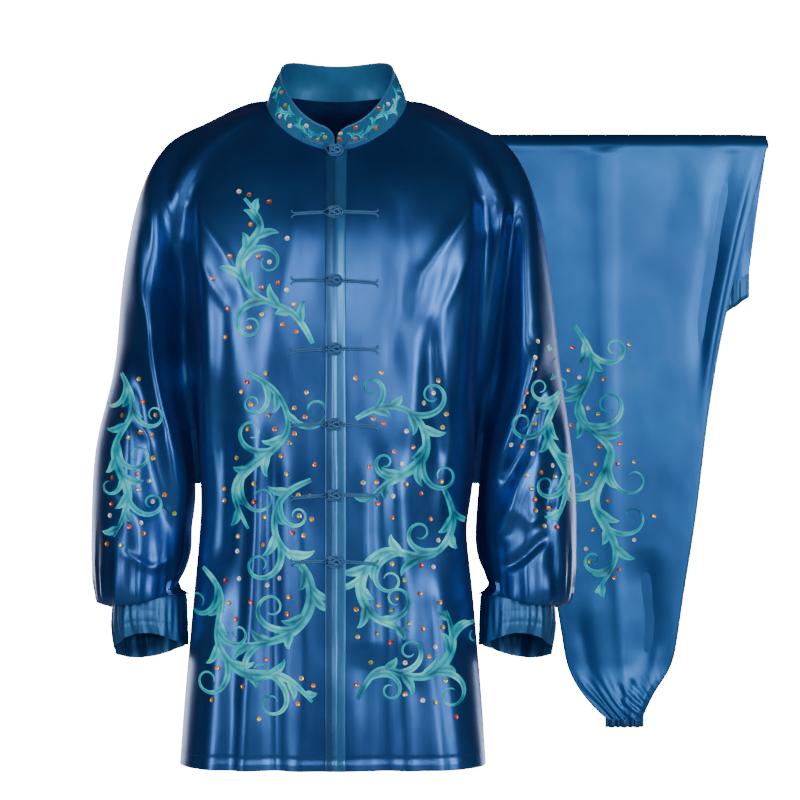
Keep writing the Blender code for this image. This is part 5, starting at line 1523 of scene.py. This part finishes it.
for sequin in SEQUINS:
    film, tree, shader = new_material(f"metallised_polyester_{sequin.name}")
    place = add_node(tree, "TexCoord")
    fleck = add_node(tree, "TexNoise", inputs={"Vector": place.outputs["Object"], "Scale": 260.0, "Detail": 0.0})
    set_inputs(shader, {
        "Base Color": ramp(tree, fleck.outputs[0], list(zip((0.38, 0.62), sequin.colours))),
        "Metallic": sequin.metallic, "Roughness": 0.22, "Coat Weight": 0.5,
    })
    scattered = mesh_object(f"sequins_{sequin.name}", *discs[sequin.name], outwards=True)
    scattered.data.materials.append(film)
    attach(scattered, "root")

# The sewing: lockstitch in matching polyester thread holds down the hem's turn-up and both edges of each
# front band. A stitch is 2.7 mm long and a little proud of the cloth, and the next begins 0.8 mm further on.
STITCH_LENGTH, STITCH_PITCH, THREAD = 2.7, 3.5, 0.42
polyester_thread = cord_material_painted_shade("polyester_thread", ("#123c74", "#1f5896", "#3c7fbc"), 1.0)


def sewn(name, obj, path, face):
    """A row of stitches that follows a path over a cloth object, on its front (-1) or back (1)."""
    tree = tree_of([obj])
    path = np.array(path, float)
    stations = travelled(path)
    points, faces = [], []
    for start in np.arange(2.0, stations[-1] - STITCH_LENGTH, STITCH_PITCH):
        ends = [[np.interp(s, stations, path[:, i]) for i in range(3)] for s in (start, start + STITCH_LENGTH)]
        spots = [tree.find_nearest(Vector(np.array(end) * MM)) for end in ends]
        a, b = (np.array(spot[0]) / MM for spot in spots)
        normal = np.array(spots[0][1])
        normal = normal if normal[1] * face > 0 else -normal
        side_way = np.cross(b - a, normal) / max(np.linalg.norm(b - a), 1e-6)
        middle, base, half = (a + b) / 2, len(points), side_way * THREAD / 1.6
        points += [a, b, middle + normal * THREAD, middle + half, middle - half]
        faces += [(base, base + 3, base + 2), (base + 3, base + 1, base + 2), (base + 1, base + 4, base + 2)]
        faces += [(base + 4, base, base + 2), (base, base + 4, base + 1, base + 3)]
    row = mesh_object(name, points, faces, "cord", outwards=True)
    row.data.materials.append(polyester_thread)
    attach(row, "root")


for (part, side), panel in panels.items():
    in_front = part == "front"
    ends = (0.1, FRONT_SIDE - 0.04) if in_front else (BACK_SIDE + 0.04, CENTRE_BACK)
    hem = drape(side, np.linspace(*ends, 60), [LAST_ROW])[0] + (0, 0, HEM_TURN_UP + 2.2)
    sewn(f"hem_stitches_{part}_{WORDS[side]}", panel, hem, -1 if in_front else 1)
for side, band in bands.items():
    for edge, share in (("inner", 0.10), ("outer", 0.88)):
        x = side * BANDS[side] * share
        heights = np.arange(-96, -738, -12.0)
        depths = [depth_at(cloth_tree, x, z) for z in heights]
        path = [(x, y, z) for y, z in zip(depths, heights) if not math.isnan(y)]
        sewn(f"band_stitches_{edge}_{WORDS[side]}", band, path, -1)
